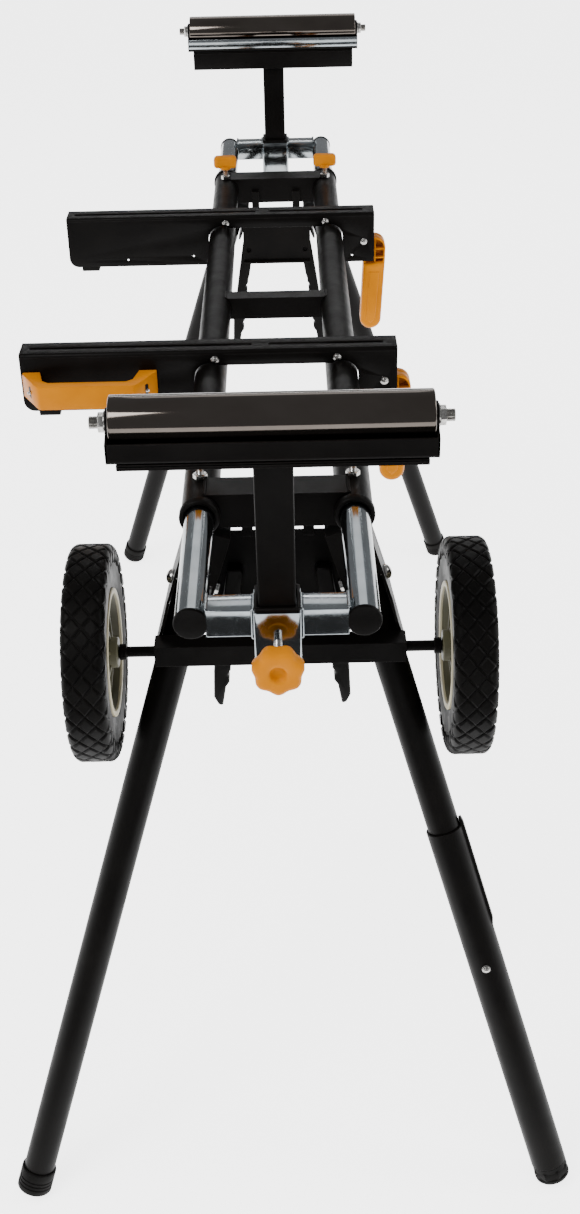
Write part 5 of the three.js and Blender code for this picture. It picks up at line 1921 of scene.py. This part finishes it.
@dataclass
class CarryGrip:
    """The carrying handle on the near bracket: two slanted feet and a grip bar."""

    finishes: Finishes
    hardware: Hardware
    slant: float = 25 * MM
    bar: float = 15 * MM
    foot: float = 22 * MM
    softness: float = 2 * MM

    def build(self) -> None:
        """Build the handle and its two bolts."""
        box = Bounds.of("carry_grip")
        x0, x1 = box.low.x, box.high.x
        back, front = box.high.y, box.low.y
        low, top = box.low.z, box.high.z
        soft = self.softness
        outer = [
            (x0, back), (x0, back - 6 * MM), (x0 + self.slant - soft, front + soft * 0.8),
            (x0 + self.slant + soft, front)
        ]
        outer += [
            (x1 - self.slant - soft, front), (x1 - self.slant + soft, front + soft * 0.8),
            (x1, back - 6 * MM), (x1, back)
        ]
        inner_y = front + self.bar
        inner = [
            (x1 - self.foot, back), (x1 - self.foot - 6 * MM, inner_y + 6 * MM),
            (x1 - self.foot - 14 * MM, inner_y)
        ]
        inner += [
            (x0 + self.foot + 14 * MM, inner_y), (x0 + self.foot + 6 * MM, inner_y + 6 * MM),
            (x0 + self.foot, back)
        ]
        work = Workpiece("carry_grip_piece")
        work.plate(outer + inner, Axis.Z, low, top, edge=1.6 * MM)
        settle(work.finish(self.finishes.orange, 45.0), "saw_bracket_near", "orange_plastic", "carry_grip")
        middle = (low + top) / 2
        places = []
        recess = Workpiece("grip_recesses")
        for sign, x in ((-1, x0 + self.slant * 0.5), (1, x1 - self.slant * 0.5)):
            slope = Vector((sign * (back - front - 6 * MM), -self.slant, 0)).normalized()
            spot = Vector((x, (back + front) / 2 - 3 * MM, middle))
            frame = Matrix.Translation(spot) @ slope.to_track_quat("Z", "Y").to_matrix().to_4x4()
            recess.plate(
                rounded_rectangle(-5.5 * MM, 5.5 * MM, -8 * MM, 8 * MM, 4.5 * MM), Axis.Z, -2 * MM,
                0.5 * MM, edge=0.3 * MM, matrix=frame
            )
            places.append((spot, slope))
        settle(recess.finish(self.finishes.plastic), "saw_bracket_near", "black_plastic")
        piece = self.hardware.hex_nut().place("grip_bolts", places, 0.42)
        settle(piece, "saw_bracket_near", "zinc")


# ---- studio
@dataclass
class Studio:
    """Pale floor, soft lights and the camera."""

    eye: Point3 = (0.0157, -1.9877, 1.6517)
    yaw: float = -0.003
    pitch: float = 0.572
    roll: float = -0.023
    lens: float = 45.0
    sensor: float = 36.0
    ambient: float = 0.30
    backdrop: float = 4.4
    floor_reach: float = 14.0

    def camera(self) -> None:
        """Place the camera, level with a slight roll."""
        forward = Vector(
            (
                math.sin(self.yaw) * math.cos(self.pitch), math.cos(self.yaw) * math.cos(self.pitch),
                -math.sin(self.pitch)
            )
        )
        level = Vector((math.cos(self.yaw), -math.sin(self.yaw), 0.0))
        upward = level.cross(forward)
        right = math.cos(self.roll) * level + math.sin(self.roll) * upward
        up = -math.sin(self.roll) * level + math.cos(self.roll) * upward
        data = bpy.data.cameras.new("camera")
        data.lens = self.lens
        data.sensor_width = self.sensor
        data.clip_end = 60.0
        camera = bpy.data.objects.new("camera", data)
        columns = Matrix((right, up, -forward)).transposed().to_4x4()
        camera.matrix_world = Matrix.Translation(Vector(self.eye)) @ columns
        bpy.context.scene.collection.objects.link(camera)
        bpy.context.scene.camera = camera

    def _area(self, name: str, at: Point3, target: Point3, size: Point2, power: float) -> None:
        """Add one soft rectangular light."""
        data = bpy.data.lights.new(name, "AREA")
        data.shape = "RECTANGLE"
        data.size, data.size_y = size
        data.energy = power
        light = bpy.data.objects.new(name, data)
        light.location = at
        light.rotation_euler = (Vector(target) - Vector(at)).to_track_quat("-Z", "Y").to_euler()
        bpy.context.scene.collection.objects.link(light)

    def lights(self) -> None:
        """Add the lights and the pale surroundings."""
        self._area("key", (-1.9, -2.2, 3.4), (0.0, -0.1, 0.8), (1.4, 1.4), 70.0)
        self._area("fill", (2.6, -0.6, 2.2), (0.0, 0.0, 0.7), (0.8, 2.4), 34.0)
        self._area("back", (0.0, 4.0, 4.0), (0.0, -0.6, 0.8), (3.0, 1.4), 17.0)
        self._area("strip", (0.0, 3.9, 2.5), (0.0, -0.6, 0.9), (3.4, 0.2), 16.0)
        data = bpy.data.lights.new("sun", "SUN")
        data.energy = 2.4
        data.angle = math.radians(60)
        sun = bpy.data.objects.new("sun", data)
        sun.rotation_euler = (math.radians(18), math.radians(-14), 0.0)
        sun.visible_glossy = False
        bpy.context.scene.collection.objects.link(sun)
        world = bpy.data.worlds.new("surroundings")
        world.use_nodes = True
        background = world.node_tree.nodes["Background"]
        background.inputs["Color"].default_value = (0.97, 0.98, 1.0, 1.0)
        seen = world.node_tree.nodes.new("ShaderNodeLightPath")
        strength = world.node_tree.nodes.new("ShaderNodeMapRange")
        strength.inputs["To Min"].default_value = self.ambient
        strength.inputs["To Max"].default_value = self.backdrop
        world.node_tree.links.new(seen.outputs["Is Camera Ray"], strength.inputs["Value"])
        world.node_tree.links.new(strength.outputs["Result"], background.inputs["Strength"])
        bpy.context.scene.world = world

    def _ground(self, name: str, low: Point3, high: Point2, material: Material, seen: bool = True) -> None:
        """Lay one level rectangle.

        Args:
            name: Name of the rectangle.
            low: Its first corner, with its height.
            high: Its opposite corner.
            material: Its finish.
            seen: Whether it shows by itself, and not only in polished surfaces.
        """
        x, y, z = low
        mesh = bpy.data.meshes.new(name)
        mesh.from_pydata(
            [(x, y, z), (high[0], y, z), (high[0], high[1], z), (x, high[1], z)], [], [(0, 1, 2, 3)]
        )
        mesh.materials.append(material)
        ground = bpy.data.objects.new(name, mesh)
        bpy.context.scene.collection.objects.link(ground)
        ground.visible_camera = seen
        ground.visible_diffuse = seen
        ground.visible_shadow = seen

    def floor(self) -> None:
        """Lay the floor."""
        reach = self.floor_reach
        self._ground("floor", (-reach, -reach, 0), (reach, reach * 2), StudioFloor().material())

    def card(self) -> None:
        """Lay a dark card in front of the stand that only polished surfaces show."""
        sheet = ShaderSheet("dark_card")
        sheet.shader.inputs["Base Color"].default_value = (0.02, 0.02, 0.02, 1.0)
        sheet.shader.inputs["Roughness"].default_value = 0.9
        self._ground("card", (-3, -3.3, 0.01), (3, -1.25), sheet.material, seen=False)

    def build(self) -> None:
        """Build the studio."""
        self.camera()
        self.lights()
        self.floor()
        self.card()


def main() -> None:
    """Load the frame and build every sub-assembly in order."""
    logging.basicConfig(level=logging.INFO, format="%(name)s: %(message)s")
    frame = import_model()
    finishes = Finishes()
    hardware = Hardware(finishes)
    Studio().build()
    RailFrame(finishes, hardware).build(frame["nodes"])
    joints = {joint["name"]: joint for joint in frame["joints"]}
    for end in End:
        RollerArm(finishes, hardware, end).build()
        SawBracket(finishes, hardware, end).build()
        for side in Side:
            Leg(finishes, hardware, end, side, joints[f"leg_{end.value}_{side.value}_fold"]).build()
    LockKnobs(finishes).build()
    Triggers(finishes).build()
    for side in Side:
        Wheel(finishes, side).build()
    Axle(finishes).build()
    CarryGrip(finishes, hardware).build()


if __name__ == "__main__":
    main()
